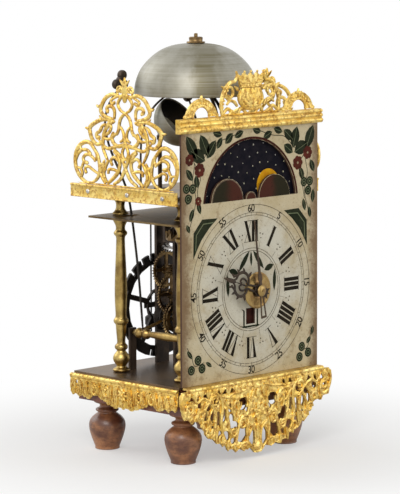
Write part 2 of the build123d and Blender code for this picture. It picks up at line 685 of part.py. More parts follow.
def make_escapement():
    """Potence, hanging cock, verge with its pallets and the bob pendulum."""
    wide = 7.0
    potence = block(-wide / 2, wide / 2, CROWN_Y - 1.8, MIDDLE_BAR, FOOT_Z, FOOT_Z + POTENCE_T)
    potence += block(-wide / 2, wide / 2, MIDDLE_BAR - 1.8, MIDDLE_BAR, FOOT_Z - 4, FOOT_Z)
    potence -= along_y(0, FLY_Z, MIDDLE_BAR - 1, MIDDLE_BAR, PIVOT_R + CLEAR, bore=True)
    keep("potence", potence - upright(0, CROWN_Y, FOOT_Z - 1, PIVOT_R + RUN, 9, bore=True))
    ear = CROWN_Y - CROWN_R - 4
    cock = block(4, 7, CROWN_Y - 4, CROWN_Y + 4, COCK_Z, MOVE_Z)
    cock += block(-3, 7, CROWN_Y - 4, CROWN_Y + 4, COCK_Z, COCK_Z + COCK_T)
    cock -= upright(0, CROWN_Y, COCK_Z - 1, PIVOT_R + RUN, 9, bore=True)
    cock += block(-3.5, 7, ear, CROWN_Y + 4, MOVE_Z - 2, MOVE_Z)
    cock += block(-3.5, 3.5, ear, ear + 2, VERGE_Z - 3.5, MOVE_Z)
    keep("verge_cock", cock - along_y(0, VERGE_Z, ear - 1, ear + 3, PIVOT_R + RUN, bore=True))

    hang_y = REAR_BAR + BAR_T + PENDULUM_BACK
    staff = pivot((0, ear + 2 + SHAKE, VERGE_Z), (0, hang_y + 4, VERGE_Z), VERGE_R)
    staff += pivot((0, ear - CLEAR, VERGE_Z), (0, ear + 3, VERGE_Z))
    for side in (-1, 1):
        flag = Pos(0, 0, -PALLET_L / 2) * Box(0.8, 3.2, PALLET_L)
        flag = Rot(0, side * PALLET_SPREAD, 0) * flag
        staff += Pos(0, CROWN_Y + side * (CROWN_R - 1.1), VERGE_Z) * flag
    keep("verge_staff", staff)
    rod = upright(0, hang_y, VERGE_Z - PENDULUM_L, 0.8, PENDULUM_L)
    rod -= along_y(0, VERGE_Z, hang_y - 9, hang_y + 9, VERGE_R, bore=True)
    bob = turned([(3, 0), (BOB_R, 3), (BOB_R, BOB_H - 3), (2.4, BOB_H)])
    keep("pendulum", rod + Pos(0, hang_y, VERGE_Z - PENDULUM_L + 4) * bob)


# Strike train

def make_strike_train():
    """Pin wheel, second wheel, warning wheel, fly and count wheel."""
    y = FACE_Y + STRIKE_WHEEL_BACK
    wheel = spoked_wheel(STRIKE_TEETH, STRIKE_MODULE, 90, STRIKE_Z, y, ARBOR_R)
    pins = [sheet_y(Pos(x, STRIKE_Z + z) * RegularPolygon(PIN_R, 6), y + 1, 4)
            for x, z, _ in bolt_circle(PIN_RING_R, PIN_COUNT)]
    ring = Pos(0, STRIKE_Z) * (RegularPolygon(PIN_RING_R + 2, 20) - RegularPolygon(PIN_RING_R - 2, 20))
    keep("strike_great_wheel", wheel + sheet_y(ring, y, WHEEL_T) + pins)
    report_y = REAR_BAR + BAR_T
    report_end = report_y + COUNT_GAP + COUNT_T - SHAKE
    arbor = along_y(0, STRIKE_Z, MIDDLE_BAR + BAR_T + SHAKE, report_end, ARBOR_R)
    arbor += pivot((0, MIDDLE_BAR - CLEAR, STRIKE_Z), (0, MIDDLE_BAR + BAR_T + 1, STRIKE_Z))
    up = pinion_outline(REPORT_LEAVES, COUNT_MODULE, -90, (0, STRIKE_Z))
    arbor += sheet_y(up, report_y + SHAKE + 1, report_end - report_y - SHAKE - 1)
    keep("strike_great_arbor", arbor)
    pulley_y = REAR_BAR - SHAKE - PULLEY_W / 2
    keep("strike_pulley", rope_pulley(STRIKE_Z, pulley_y, ARBOR_R + RUN))

    def train_arbor(name, z, teeth, leaves, wheel_y, pinion_y, module=STRIKE_MODULE):
        """A strike arbor in one piece with its wheel and its pinion."""
        arbor = pivoted(0, z, MIDDLE_BAR + BAR_T, REAR_BAR)
        arbor += sheet_y(pinion_outline(leaves, module, -90, (0, z)), pinion_y, 5)
        keep(name, arbor + spoked_wheel(teeth, module, 90, z, wheel_y, ARBOR_R - 0.5))

    second_y = y + 7
    warning_y = second_y + 7
    train_arbor("strike_second_wheel", SECOND_Z, SECOND_TEETH, SECOND_LEAVES, second_y, y - 1.5)
    train_arbor("warning_wheel", WARNING_Z, WARNING_TEETH, WARNING_LEAVES, warning_y,
                second_y - 1.5)
    fly = along_y(0, FLY_Z, MIDDLE_BAR + BAR_T + SHAKE, REAR_BAR - SHAKE, ARBOR_R - 0.5)
    fly += pivot((0, MIDDLE_BAR - CLEAR, FLY_Z), (0, REAR_BAR + BAR_T + CLEAR, FLY_Z))
    fly += sheet_y(pinion_outline(FLY_LEAVES, STRIKE_MODULE, -90, (0, FLY_Z)), warning_y - 1, 3.6)
    vane = Pos(0, 0, FLY_Z) * block(-VANE_R, VANE_R, y - 1, warning_y - 2, -0.5, 0.5)
    keep("fly", fly + vane)
    keep("count_wheel", count_wheel())


def count_wheel():
    """The count wheel: twelve notches, crossings and a ring of inner teeth."""
    face = disc(0, COUNT_Z, COUNT_R)
    face = crossings(face, (0, COUNT_Z), COUNT_R - 10, COUNT_RING_R, 5, 5, turn=20)
    inner = []
    pitch = 360 / COUNT_TEETH
    radius = pitch_radius(COUNT_TEETH, COUNT_MODULE)
    for i in range(COUNT_TEETH):
        at = -90 + (i + 0.5) * pitch
        inner += [polar(radius + 1.1 * COUNT_MODULE, at - 0.3 * pitch, (0, COUNT_Z)),
                  polar(radius + 1.1 * COUNT_MODULE, at + 0.3 * pitch, (0, COUNT_Z)),
                  polar(radius - 0.7 * COUNT_MODULE, at + 0.5 * pitch, (0, COUNT_Z))]
    face -= polygon(inner)
    blows = 0
    for strokes in range(1, 13):
        at = 90 + 360 * blows / BLOWS
        face -= Pos(0, COUNT_Z) * Rot(0, 0, at) * Pos(COUNT_R, 0) * Rectangle(12, 3.2)
        blows += strokes
    front = REAR_BAR + BAR_T + COUNT_GAP
    wheel = sheet_y(face, front, COUNT_T)
    hub = Pos(0, COUNT_Z) * Rectangle(2 * radius + 8, 5) + disc(0, COUNT_Z, 4.5)
    bridge = sheet_y(hub - hole(0, COUNT_Z, ARBOR_R + RUN), front + COUNT_T, 1.2)
    return wheel + bridge


# Bells and hammers

def shell(profile, wall):
    """A bell wall: the turned profile less the same profile moved inwards."""
    inner = []
    for i, (r, h) in enumerate(profile):
        r0, h0 = profile[max(i - 1, 0)]
        r1, h1 = profile[min(i + 1, len(profile) - 1)]
        length = hypot(r1 - r0, h1 - h0)
        inner.append((r - (h1 - h0) / length * wall, h + (r1 - r0) / length * wall))
    inner[0] = (profile[0][0] - wall, 0)
    inner[-1] = (inner[-1][0], profile[-1][1] - wall)
    return turned(profile, sides=26) - turned([(inner[0][0], -1)] + inner, sides=26)


def bell_profile(radius, height):
    """The rounded outline of a bell with its mouth at height 0."""
    shape = ((1.0, 0), (0.983, 0.2), (0.893, 0.5), (0.68, 0.8), (0.495, 0.937), (0.18, 1.0))
    return [(radius * r, height * h) for r, h in shape]


def make_bells():
    """The hour bell on its three-legged stand and the small tilted half-hour bell."""
    axis_y = FACE_Y + BELL_BACK
    rim = PLATE_TOP + BELL_RIM_UP
    crown = rim + BELL_H
    bell = shell(bell_profile(BELL_R, BELL_H), BELL_WALL)
    bell -= upright(0, 0, 0, STUD_R + RUN, 2 * BELL_H, bore=True)
    keep("hour_bell", Pos(0, axis_y, rim) * bell)
    hub_z = crown - BELL_WALL
    legs = []
    for angle in LEG_ANGLES:
        line = Polyline((3, hub_z - 1.2), (9, rim + 27), (17, rim + 11), (27, rim),
                        (LEG_R - 13, rim - 11), (LEG_R - 5, rim - 24), (LEG_R - 1, rim - 40),
                        (LEG_R, rim - 56), (LEG_R, GALLERY_TOP))
        strap = extrude(Plane.XZ * trace(line, STRAP_T), STRAP_W / 2, both=True)
        foot_pad = block(LEG_R - 1, LEG_R + 8, -STRAP_W, STRAP_W, GALLERY_TOP, GALLERY_TOP + 1.6)
        strap &= block(0, 2 * LEG_R, -STRAP_W, STRAP_W, GALLERY_TOP, hub_z)
        legs.append(Pos(0, axis_y, 0) * Rot(0, 0, angle) * (strap + foot_pad))
    stand = upright(0, axis_y, hub_z - 2.4, 8, 2.4) + legs
    stand += upright(0, axis_y, hub_z - 1, STUD_R, BELL_WALL + NUT_H + 5.5)
    keep("bell_stand", stand)
    nut = extrude(RegularPolygon(NUT_R, 4) - round_face(STUD_R + RUN, bore=True), NUT_H)
    keep("bell_nut", Pos(0, axis_y, crown) * nut)

    place = Plane(origin=SMALL_BELL_TOP, z_dir=SMALL_BELL_AXIS)
    cup = Pos(0, 0, SMALL_BELL_H) * Rot(180, 0, 0) * (
        shell(bell_profile(SMALL_BELL_R, SMALL_BELL_H), SMALL_BELL_WALL))
    keep("half_hour_bell", place * (cup - upright(0, 0, -9, STUD_R + RUN, 90, bore=True)))
    x, y, z = SMALL_BELL_TOP
    bracket = place * (upright(0, 0, -6, STUD_R, 13) + upright(0, 0, -4, 4, 4))
    bend = place.from_local_coords(Vector(0, 0, -5))
    bracket += between((bend.X, bend.Y, GALLERY_TOP), (bend.X, bend.Y, bend.Z), 2.0)
    bracket += upright(bend.X, bend.Y, bend.Z - 2, 3, 4)
    bracket += upright(bend.X, bend.Y, GALLERY_TOP, 6, 2)
    keep("half_hour_bell_bracket", bracket)


def make_hammer():
    """The hour hammer: turned arbor with its tail, and the bent stem with a trefoil head."""
    z = PLATE_TOP + HAMMER_UP
    front, rear = FACE_Y + HAMMER_FRONT, FACE_Y + HAMMER_REAR
    r = HAMMER_ARBOR_R
    length = rear - front
    shape = turned([(0.7 * r, 0), (0.7 * r, 3), (1.15 * r, 4), (0.8 * r, 6), (0.75 * r, 14),
                    (r, 0.45 * length), (0.7 * r, 0.72 * length), (1.2 * r, 0.76 * length),
                    (0.8 * r, 0.8 * length), (1.3 * r, 0.88 * length), (0.6 * r, length)])
    arbor = Plane(origin=(HAMMER_X, front, z), z_dir=(0, 1, 0)) * shape
    arbor += pivot((HAMMER_X, front - COCK_W - CLEAR, z), (HAMMER_X, rear + COCK_W + CLEAR, z))
    tail_y = FACE_Y + STRIKE_WHEEL_BACK + WHEEL_T + 1
    tail = sheet_y(bar(HAMMER_X, z, -PIN_RING_R - 3, z + 6, 3.5), tail_y, 2)
    arbor += tail
    keep("hammer_arbor", arbor)
    points = [(HAMMER_X, HAMMER_BACK, HAMMER_UP), (HAMMER_X - 4, HAMMER_BACK, 81),
              (HAMMER_X - 12, HAMMER_BACK, 139), (HAMMER_X - 18, HAMMER_BACK + 1, 172),
              (HAMMER_X - 23, HAMMER_BACK + 22, 215), (HAMMER_X - 19, HAMMER_BACK + 31, 240),
              (HAMMER_X - 4, HAMMER_BACK + 27, BELL_RIM_UP + 5)]
    points = [Vector(x, FACE_Y + y, PLATE_TOP + up) for x, y, up in points]
    path = FilletPolyline(*points, radius=8)
    section = Plane(origin=points[0], z_dir=points[1] - points[0]) * RegularPolygon(STEM_R, 8)
    stem = sweep(section, path=path) - arbor
    head = disc(0, 4.8, 4.4) + [disc(0, -4.8, 4.4), disc(-6.5, 0, 3.8),
                                Pos(-3, 0) * Rectangle(7, 5)]
    head = extrude(Plane.XZ * head, 2.6, both=True)
    head = Pos(0, FACE_Y + BELL_BACK, PLATE_TOP + BELL_RIM_UP + 13) * Rot(0, 0, HEAD_ANGLE) * (
        Pos(HEAD_FROM_AXIS, 0, 0) * head)
    keep("hammer_stem", stem)
    keep("hammer_head", head - stem)
    cock = Pos(HAMMER_X, PLATE_TOP) * Rectangle(8, HAMMER_UP + 4, align=(Align.CENTER, Align.MIN))
    cock -= hole(HAMMER_X, z, PIVOT_R + RUN)
    cocks = [sheet_y(cock, y, COCK_W) for y in (front - SHAKE - COCK_W, rear + SHAKE)]
    keep("hammer_cocks", Compound(children=cocks))


def make_half_hour_hammer():
    """The small hammer with its knob beside the half-hour bell, on a bracket of its own."""
    z = GALLERY_TOP + 6
    y = FACE_Y + SMALL_HAMMER_BACK
    points = [(SMALL_HAMMER_X, y, z), (SMALL_HAMMER_X - 2, y, z + 40),
              (KNOB_X, y, PLATE_TOP + KNOB_UP)]
    lower = between(points[0], points[1], STEM_R) + Pos(*points[1]) * Box(2, 2, 2)
    hammer = lower + between(points[1], points[2], STEM_R)
    hammer += pivot((SMALL_HAMMER_X, y - 7, z), (SMALL_HAMMER_X, y + 7, z))
    hammer += along_y(SMALL_HAMMER_X, z, y - 4, y + 4, ARBOR_R)
    knob = turned([(2.5, -4), (4.6, -2), (4.6, 2), (2.5, 4)], sides=10)
    hammer += Plane(origin=points[-1], z_dir=(1, 0, 0.4)) * knob
    keep("half_hour_hammer", hammer)
    yoke = block(SMALL_HAMMER_X - 4, SMALL_HAMMER_X + 4, y - 7, y + 7, GALLERY_TOP,
                 GALLERY_TOP + 1.5)
    for side in (y - 7, y + 5):
        yoke += block(SMALL_HAMMER_X - 3, SMALL_HAMMER_X + 3, side, side + 2, GALLERY_TOP, z + 3)
    yoke -= along_y(SMALL_HAMMER_X, z, y - 9, y + 9, PIVOT_R + RUN, bore=True)
    NODES["gallery_plate"] += yoke


def make_locking_lever():
    """The detent: one arm rests at the count wheel, the other at the warning wheel."""
    z = MOVE_Z - 8
    front, rear = FACE_Y + 100, REAR_BAR + BAR_T + COUNT_GAP + COUNT_T
    lever = pivot((LOCK_X, front, z), (LOCK_X, rear, z), ARBOR_R)
    top = COUNT_Z + COUNT_R + CLEAR
    arm = bar(LOCK_X, z, 10, top + 2, 3) + bar(10, top + 1.5, 3, top + 1.5, 3)
    lever += sheet_y(arm, rear - COUNT_T, COUNT_T)
    stop = bar(LOCK_X, z, LOCK_X - 4, WARNING_Z + 16, 3)
    lever += sheet_y(stop, front + 6, 2)
    keep("locking_lever", lever)
    cock = Pos(LOCK_X, MOVE_Z) * Rectangle(7, 12, align=(Align.CENTER, Align.MAX))
    cock -= hole(LOCK_X, z, ARBOR_R + RUN)
    NODES["movement_plate"] += [sheet_y(cock, y, 2) for y in (front + 2, front + 12)]


# Gilt mounts

def side_fret_outline():
    """Openwork of C scrolls in three tiers, centred on local x = 0 with its foot at 0."""
    half = FRET_D / 2
    scrolls = [
        bar(0, 2, half, 2, 4),
        c_scroll(half - 16, 17, 13, -80, 250, 4.2),
        c_scroll(half - 42, 16, 11, -70, 240, 4),
        c_scroll(9, 15, 9.5, -90, 200, 3.6),
        leaf(half - 27, 2, half - 29, 34, 4),
        c_scroll(36, 41, 12.5, -95, 235, 4),
        c_scroll(13, 38, 11, -60, 220, 3.6),
        leaf(46, 50, 62, 40, 3.2),
        leaf(22, 28, 24, 52, 3.4),
        c_scroll(21, 63, 10.5, -100, 240, 3.6),
        leaf(28, 72, 40, 66, 2.6),
        c_scroll(7, 64, 9, -80, 170, 3.2),
        c_scroll(8, 82, 7.5, -110, 230, 3),
        leaf(0, 70, 0, FRET_H, 4.6)]
    return mirrored(scrolls)


def side_apron_outline():
    """A hanging border of scrolls and leaves, centred on local x = 0 with its top at 0."""
    half = SIDE_APRON_D / 2
    parts = [bar(0, -2.5, half, -2.5, 5)]
    count = 4
    step = half / count
    for i in range(count):
        x = (i + 0.5) * step
        parts += [c_scroll(x, -10, 6.5, 150, 240, 3.4), leaf(x, -3, x, -21, 3.2)]
    parts += [leaf(0, -4, 0, -26, 4.5), leaf(half - 8, -4, half - 3, -26, 5)]
    return mirrored(parts) & Pos(0, -20) * Rectangle(SIDE_APRON_D, 40)


def front_apron_outline():
    """The rocaille border under the dial, with its pendant on local x = 0 and top at 0."""
    half = APRON_W / 2
    parts = [bar(0, -3, half, -3, 6),
             c_scroll(half - 9, -14, 9, 60, 230, 4.4), leaf(half - 16, -4, half - 4, -34, 5),
             c_scroll(half - 28, -18, 11, 100, 240, 4.6), leaf(half - 36, -8, half - 30, -38, 5),
             c_scroll(46, -26, 14, 110, 250, 5), leaf(57, -8, 50, -48, 4.6),
             c_scroll(26, -36, 15, 120, 250, 5), leaf(38, -10, 30, -58, 5),
             c_scroll(11, -20, 11, 60, 220, 4.4), c_scroll(12, -48, 10, 60, 240, 4.4),
             leaf(0, -4, 0, -58, 7), leaf(0, -44, 0, -PENDANT_DROP, 8.5)]
    return mirrored(parts)


def crest_outline():
    """A crowned shell between scrolls, centred on local x = 0 with its foot at 0."""
    parts = [bar(0, 1.5, CREST_HALF, 1.5, 3),
             c_scroll(27, 9.5, 8.5, -50, 230, 4), c_scroll(14, 14, 9, -60, 220, 3.6),
             leaf(19, 4, 33, 1, 2.4), leaf(8, 2, 9, 22, 3),
             leaf(0, 1, 0, 31, 9), c_scroll(6, 30, 4, -60, 210, 2.2),
             leaf(0, 24, 0, CREST_H, 3.4)]
    return mirrored(parts) & Pos(0, CREST_H / 2) * Rectangle(4 * CREST_HALF, CREST_H)


def make_mounts():
    """The gilt brass mounts: cornice, crests, frets, strips and aprons, and their screws."""
    top = PLATE_TOP + DIAL_H
    reed = CORNICE_H / 3
    profile = Pos(FACE_Y + 4, top) * Rectangle(6, CORNICE_H, align=(Align.MAX, Align.MIN))
    for i in range(3):
        profile += Pos(FACE_Y - 2 + 0.4, top + (i + 0.5) * reed) * round_face(reed / 2)
    half = DIAL_W / 2 + CORNICE_OUT
    keep("cornice", extrude(at_x(-half) * profile, 2 * half))
    crest_y, crest_z = FACE_Y + 0.5, top + CORNICE_H
    keep("crest_centre", sheet_y(Pos(0, crest_z) * crest_outline(), crest_y, CREST_T))
    arches = []
    for side, sign in (("left", -1), ("right", 1)):
        arch = disc(0, -4, 22) - hole(0, 0, 9.5)
        arch += [leaf(0, 15, 0, 20.5, 3), disc(-20, 1.5, 2.4), disc(20, 1.5, 2.4)]
        arch &= Rectangle(60, 40, align=(Align.CENTER, Align.MIN))
        arches.append(sheet_y(Pos(sign * ARCH_X, crest_z) * arch, crest_y, CREST_T))
        edge = sign * BASE_W / 2
        out = edge if sign > 0 else edge - STRIP_T
        strip = block(out, out + STRIP_T, FACE_Y + 3, BASE_REAR, GALLERY_Z, GALLERY_Z + STRIP_H)
        strip += block(out - 0.6, out + STRIP_T + 0.6, FACE_Y + 3, BASE_REAR,
                       GALLERY_Z + STRIP_H - 2, GALLERY_Z + STRIP_H)
        for back in STRIP_SCREWS:
            strip -= between((edge - 9, FACE_Y + back, SCREW_Z), (edge + 9, FACE_Y + back, SCREW_Z),
                             SCREW_R, bore=True)
        keep(f"side_strip_{side}", strip)
        middle = FACE_Y + FRET_D / 2 + 2
        fret_x = edge + sign * STRIP_T / 2 - FRET_T / 2
        fret = Pos(middle, GALLERY_Z + STRIP_H) * side_fret_outline()
        keep(f"side_fret_{side}", sheet_x(fret, fret_x, FRET_T))
        apron = Pos(FACE_Y + SIDE_APRON_D / 2, PLATE_TOP) * side_apron_outline()
        apron_x = edge if sign > 0 else edge - APRON_T
        keep(f"side_apron_{side}", sheet_x(apron, apron_x, APRON_T))
    keep("crest_arches", Compound(children=arches))
    front = FACE_Y - APRON_STAND - APRON_T
    apron = sheet_y(Pos(0, PLATE_TOP - PLATE_T) * front_apron_outline(), front, APRON_T)
    apron += block(-DIAL_W / 2, DIAL_W / 2, front, DIAL_BACK, PLATE_TOP - PLATE_T, PLATE_TOP)
    boss = Plane(origin=(0, front, PLATE_TOP - 30), x_dir=(1, 0, 0), z_dir=(0, -1, 0)) * turned(
        [(9, -1), (9, 0), (6, 3), (2.5, APRON_PROUD - APRON_STAND - APRON_T)])
    keep("front_apron", apron + boss)
    screws = []
    for sign in (-1, 1):
        for back in STRIP_SCREWS:
            edge = sign * BASE_W / 2
            start = (edge - sign * 2, FACE_Y + back, SCREW_Z)
            out = (edge + sign * STRIP_T, FACE_Y + back, SCREW_Z)
            tip = (edge + sign * (STRIP_T + 1.4), FACE_Y + back, SCREW_Z)
            screws.append(between(start, out, SCREW_R) + between(out, tip, 1.9 * SCREW_R))
    keep("strip_screws", Compound(children=screws))


make_stand()
make_frame()
make_dial()
make_motion_work()
make_hands()
make_going_train()
make_escapement()
make_strike_train()
make_bells()
make_hammer()
make_half_hour_hammer()
make_locking_lever()
make_mounts()

for name, solid in NODES.items():
    export_step(solid, f"parts/{name}.step")
print(len(NODES), "pieces written")
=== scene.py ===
# %% [markdown]
# # A Dutch posted-frame chair clock, dressed for its portrait
#
# The frame that is loaded here holds the clock's solids: plates, pillars, wheels, hands and
# bells, each in its place, in metres. This file gives them what a maker gives last: turned
# mouldings, cast and gilt ornament, a painted dial and the colour of old metal.
# X runs to the right as seen from the front, Y to the back and Z up.

import json
from math import cos, hypot, pi, radians, sin

import bmesh
import bpy
from mathutils import Matrix, Vector


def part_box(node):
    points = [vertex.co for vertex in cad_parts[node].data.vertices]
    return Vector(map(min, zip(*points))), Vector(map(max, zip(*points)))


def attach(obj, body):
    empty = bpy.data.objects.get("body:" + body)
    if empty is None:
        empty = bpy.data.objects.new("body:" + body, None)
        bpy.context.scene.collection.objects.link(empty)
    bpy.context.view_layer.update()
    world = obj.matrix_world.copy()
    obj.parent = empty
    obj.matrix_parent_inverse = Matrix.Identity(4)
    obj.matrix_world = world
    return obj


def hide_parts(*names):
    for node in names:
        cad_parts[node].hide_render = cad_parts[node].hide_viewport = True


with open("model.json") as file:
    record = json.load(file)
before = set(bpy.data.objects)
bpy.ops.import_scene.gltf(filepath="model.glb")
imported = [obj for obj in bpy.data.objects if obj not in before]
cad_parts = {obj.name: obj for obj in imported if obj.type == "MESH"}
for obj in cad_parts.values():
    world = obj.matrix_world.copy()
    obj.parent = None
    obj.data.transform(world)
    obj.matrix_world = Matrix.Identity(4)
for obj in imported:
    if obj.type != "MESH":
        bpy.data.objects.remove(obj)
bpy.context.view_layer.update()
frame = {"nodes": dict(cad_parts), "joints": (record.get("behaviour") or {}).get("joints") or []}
MM = 0.001
joint_at = {joint["name"]: Vector(joint["pos_m"]) for joint in frame["joints"]}

# %% [markdown]
# ## The camera
#
# The clock was seen from its left front, a little from above, with a long lens. A long lens
# keeps upright lines upright, so the camera stands over two metres away. It looks at a point
# given from the dial's face and the bottom plate, because those two are easy to measure.

# %% Camera
dial_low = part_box("dial_plate")[0]
FACE_Y = dial_low.y
PLATE_TOP = dial_low.z
CENTRE = Vector((0, FACE_Y, joint_at["minute_spin"].z))


def from_dial(x, back, up):
    """A point given in millimetres from the dial's foot: right, back and up."""
    return Vector((x * MM, FACE_Y + back * MM, PLATE_TOP + up * MM))


AIM = from_dial(-66.94, 0, 126.5)
VIEW_TURN = radians(45.2)
VIEW_RISE = radians(7.204)
VIEW_ROLL = radians(-0.19)
VIEW_DISTANCE = 2.5622
LENS_MM = 255.2

towards_camera = Vector((-sin(VIEW_TURN) * cos(VIEW_RISE), -cos(VIEW_TURN) * cos(VIEW_RISE), sin(VIEW_RISE)))
camera_data = bpy.data.cameras.new("portrait_camera")
camera_data.lens = LENS_MM
camera_data.sensor_width = 36
camera_data.sensor_fit = "HORIZONTAL"
camera_data.clip_end = 20
camera = bpy.data.objects.new("portrait_camera", camera_data)
camera.location = AIM + VIEW_DISTANCE * towards_camera
camera.rotation_mode = "QUATERNION"
camera.rotation_quaternion = (towards_camera.to_track_quat("Z", "Y").to_matrix().to_4x4()
                              @ Matrix.Rotation(VIEW_ROLL, 4, "Z")).to_quaternion()
bpy.context.scene.collection.objects.link(camera)
bpy.context.scene.camera = camera
print("camera", [round(v, 3) for v in camera.location])

# %% [markdown]
# ## Light and floor
#
# A studio photograph of gilt brass needs something bright to reflect and something dark to
# set it off. Three soft lamps do the lighting. The white round about is at full strength for
# the camera, in glossy reflections and through glass. All other light from it is weaker, so
# it doesn't wash out the shadows.

# %% Lamps
def new_object(name, data):
    """An object for this data, linked to the scene."""
    made = bpy.data.objects.new(name, data)
    bpy.context.scene.collection.objects.link(made)
    return made


lit_spot = Vector((0, 0, 0.2))
for name, place, size, watts, tint in (("key_lamp", (-1.5, -1.0, 1.35), 1.0, 21, (1.0, 0.97, 0.93)),
                                       ("fill_lamp", (1.3, -1.9, 0.9), 1.4, 11, (0.95, 0.97, 1.0)),
                                       ("rim_lamp", (-0.5, 1.6, 1.2), 1.2, 10, (1.0, 1.0, 1.0))):
    data = bpy.data.lights.new(name, "AREA")
    data.shape, data.size, data.energy, data.color = "SQUARE", size, watts, tint
    lamp = new_object(name, data)
    lamp.location = place
    lamp.rotation_mode = "QUATERNION"
    lamp.rotation_quaternion = (Vector(place) - lit_spot).to_track_quat("Z", "Y")
    print(name, watts, "watts")

# %% Surround and floor
WEAK_WHITE = 0.42

scene = bpy.context.scene
scene.view_settings.view_transform = "Standard"
scene.world = world = bpy.data.worlds.new("studio")
world.use_nodes = True
tree = world.node_tree
tree.nodes.clear()
rays = tree.nodes.new("ShaderNodeLightPath")
seen = rays.outputs["Is Camera Ray"]
for kind in ("Is Glossy Ray", "Is Transmission Ray"):
    either = tree.nodes.new("ShaderNodeMath")
    either.operation = "MAXIMUM"
    tree.links.new(seen, either.inputs[0])
    tree.links.new(rays.outputs[kind], either.inputs[1])
    seen = either.outputs[0]
strength = tree.nodes.new("ShaderNodeMapRange")
strength.inputs["To Min"].default_value = WEAK_WHITE
strength.inputs["To Max"].default_value = 1.0
tree.links.new(seen, strength.inputs["Value"])
sky = tree.nodes.new("ShaderNodeBackground")
sky.inputs["Color"].default_value = (1, 1, 1, 1)
tree.links.new(strength.outputs[0], sky.inputs["Strength"])
sky_out = tree.nodes.new("ShaderNodeOutputWorld")
tree.links.new(sky.outputs[0], sky_out.inputs["Surface"])

floor_mesh = bpy.data.meshes.new("studio_floor")
floor_bm = bmesh.new()
bmesh.ops.create_grid(floor_bm, x_segments=4, y_segments=4, size=30)
floor_bm.to_mesh(floor_mesh)
floor_bm.free()
floor = new_object("studio_floor", floor_mesh)
print("floor", [round(v) for v in floor.dimensions])

# %% [markdown]
# ## Writing a material as sums
#
# A finish is easier to read as arithmetic than as a web of links. A Wire holds one socket,
# and an operator on it adds the Math node that does the sum. A Finish is the material that
# the wires belong to. One method of it makes every node.

# %% Shader arithmetic
class Wire:
    """A shader socket that takes part in Python arithmetic."""

    def __init__(self, finish, socket):
        self.finish = finish
        self.socket = socket

    def math(self, operation, *others):
        """What a Math node makes of this wire and any others."""
        return self.finish.node("ShaderNodeMath", {"operation": operation}, dict(enumerate((self, *others))))

    def __add__(self, other):
        return self.math("ADD", other)

    def __sub__(self, other):
        return self.math("SUBTRACT", other)

    def __rsub__(self, other):
        return self * -1 + other

    def __mul__(self, other):
        return self.math("MULTIPLY", other)

    def __truediv__(self, other):
        return self.math("DIVIDE", other)

    __radd__ = __add__
    __rmul__ = __mul__

    def above(self, edge, soft=0.1):
        """From 0 below edge to 1 above it, with a soft step."""
        return self.finish.node("ShaderNodeMapRange", {"interpolation_type": "SMOOTHSTEP"},
                                {"Value": self, "From Min": edge - soft, "From Max": edge + soft})


print("a wire does", [name for name in vars(Wire) if name[2:-2] in ("add", "sub", "mul", "truediv")])


# %% A material in the making
class Finish:
    """A material that is being mixed."""

    def __init__(self, name):
        self.material = bpy.data.materials.new(name)
        self.material.use_nodes = True
        self.tree = self.material.node_tree
        self.tree.nodes.clear()
        self.place = self.node("ShaderNodeTexCoord", {}, {}, "Object")

    def node(self, kind, settings, inputs, output=0):
        """One shader node: its settings first, then the values or wires of its sockets."""
        made = self.tree.nodes.new(kind)
        for key, value in settings.items():
            setattr(made, key, value)
        for key, value in inputs.items():
            socket = made.inputs[key]
            if isinstance(value, Wire):
                self.tree.links.new(value.socket, socket)
            elif socket.type == "RGBA" and len(value) == 3:
                socket.default_value = (*value, 1)
            else:
                socket.default_value = value
        return Wire(self, made.outputs[output])

    def axis(self, letter):
        """One of the three Object coordinates, in metres."""
        return self.node("ShaderNodeSeparateXYZ", {}, {0: self.place}, letter)

    def stretched(self, scale):
        """Object coordinates with each axis scaled by its own factor."""
        return self.node("ShaderNodeMapping", {}, {"Vector": self.place, "Scale": scale})

    def noise(self, scale, detail=4.0, rough=0.55, where=None):
        """Cloudy noise from 0 to 1."""
        return self.node("ShaderNodeTexNoise", {},
                         {"Vector": where or self.place, "Scale": scale, "Detail": detail,
                          "Roughness": rough})

    def mix(self, share, first, second):
        """A colour that goes from first to second with share."""
        return self.node("ShaderNodeMix", {"data_type": "RGBA"}, {0: share, 6: first, 7: second}, 2)

    def bump(self, height, strength, distance):
        """A normal from a height wire."""
        return self.node("ShaderNodeBump", {}, {"Height": height, "Strength": strength, "Distance": distance})

    def surface(self, **sockets):
        """Ends the material in one Principled surface."""
        inputs = {key.replace("_", " "): value for key, value in sockets.items()}
        return self.end(self.node("ShaderNodeBsdfPrincipled", {}, inputs))

    def end(self, shader):
        """Wires the last shader to the material's output."""
        out = self.tree.nodes.new("ShaderNodeOutputMaterial")
        self.tree.links.new(shader.socket, out.inputs["Surface"])
        return self.material


print("a finish has", len([name for name in vars(Finish) if name[0] != "_"]), "methods")

# %% [markdown]
# ## The finishes
#
# Old metal is never one colour. Gilding is worn to a paler, redder tone on its high spots
# and has red-brown patches in clouds: dirt, together with painted shade of its hollows. Brass
# goes brown in clouds, and iron is brown-black. Each finish below is clouds of two or three
# colours with a roughness that follows them.

# %% Metals
def gilding():
    """Fire-gilt cast brass: bright yellow with red-brown patches of dirt and painted shade, and a grainy
    skin.
    """
    f = Finish("gilding")
    clouds = f.noise(90, 6)
    grain = f.noise(800, 5, 0.7)
    # Red-brown patches in clouds: dirt, together with painted shade as hollows would hold it.
    dirt_and_shade = f.noise(330, 4, 0.6).above(0.55, 0.09)
    colour = f.mix(clouds.above(0.5, 0.2), (0.72, 0.46, 0.09), (0.93, 0.72, 0.25))
    colour = f.mix(dirt_and_shade * 0.7, colour, (0.36, 0.16, 0.035))
    return f.surface(Base_Color=colour, Metallic=1.0, Roughness=0.25 + clouds * 0.16 + dirt_and_shade * 0.2,
                     Normal=f.bump(grain + clouds + dirt_and_shade, 0.45, 0.0007))


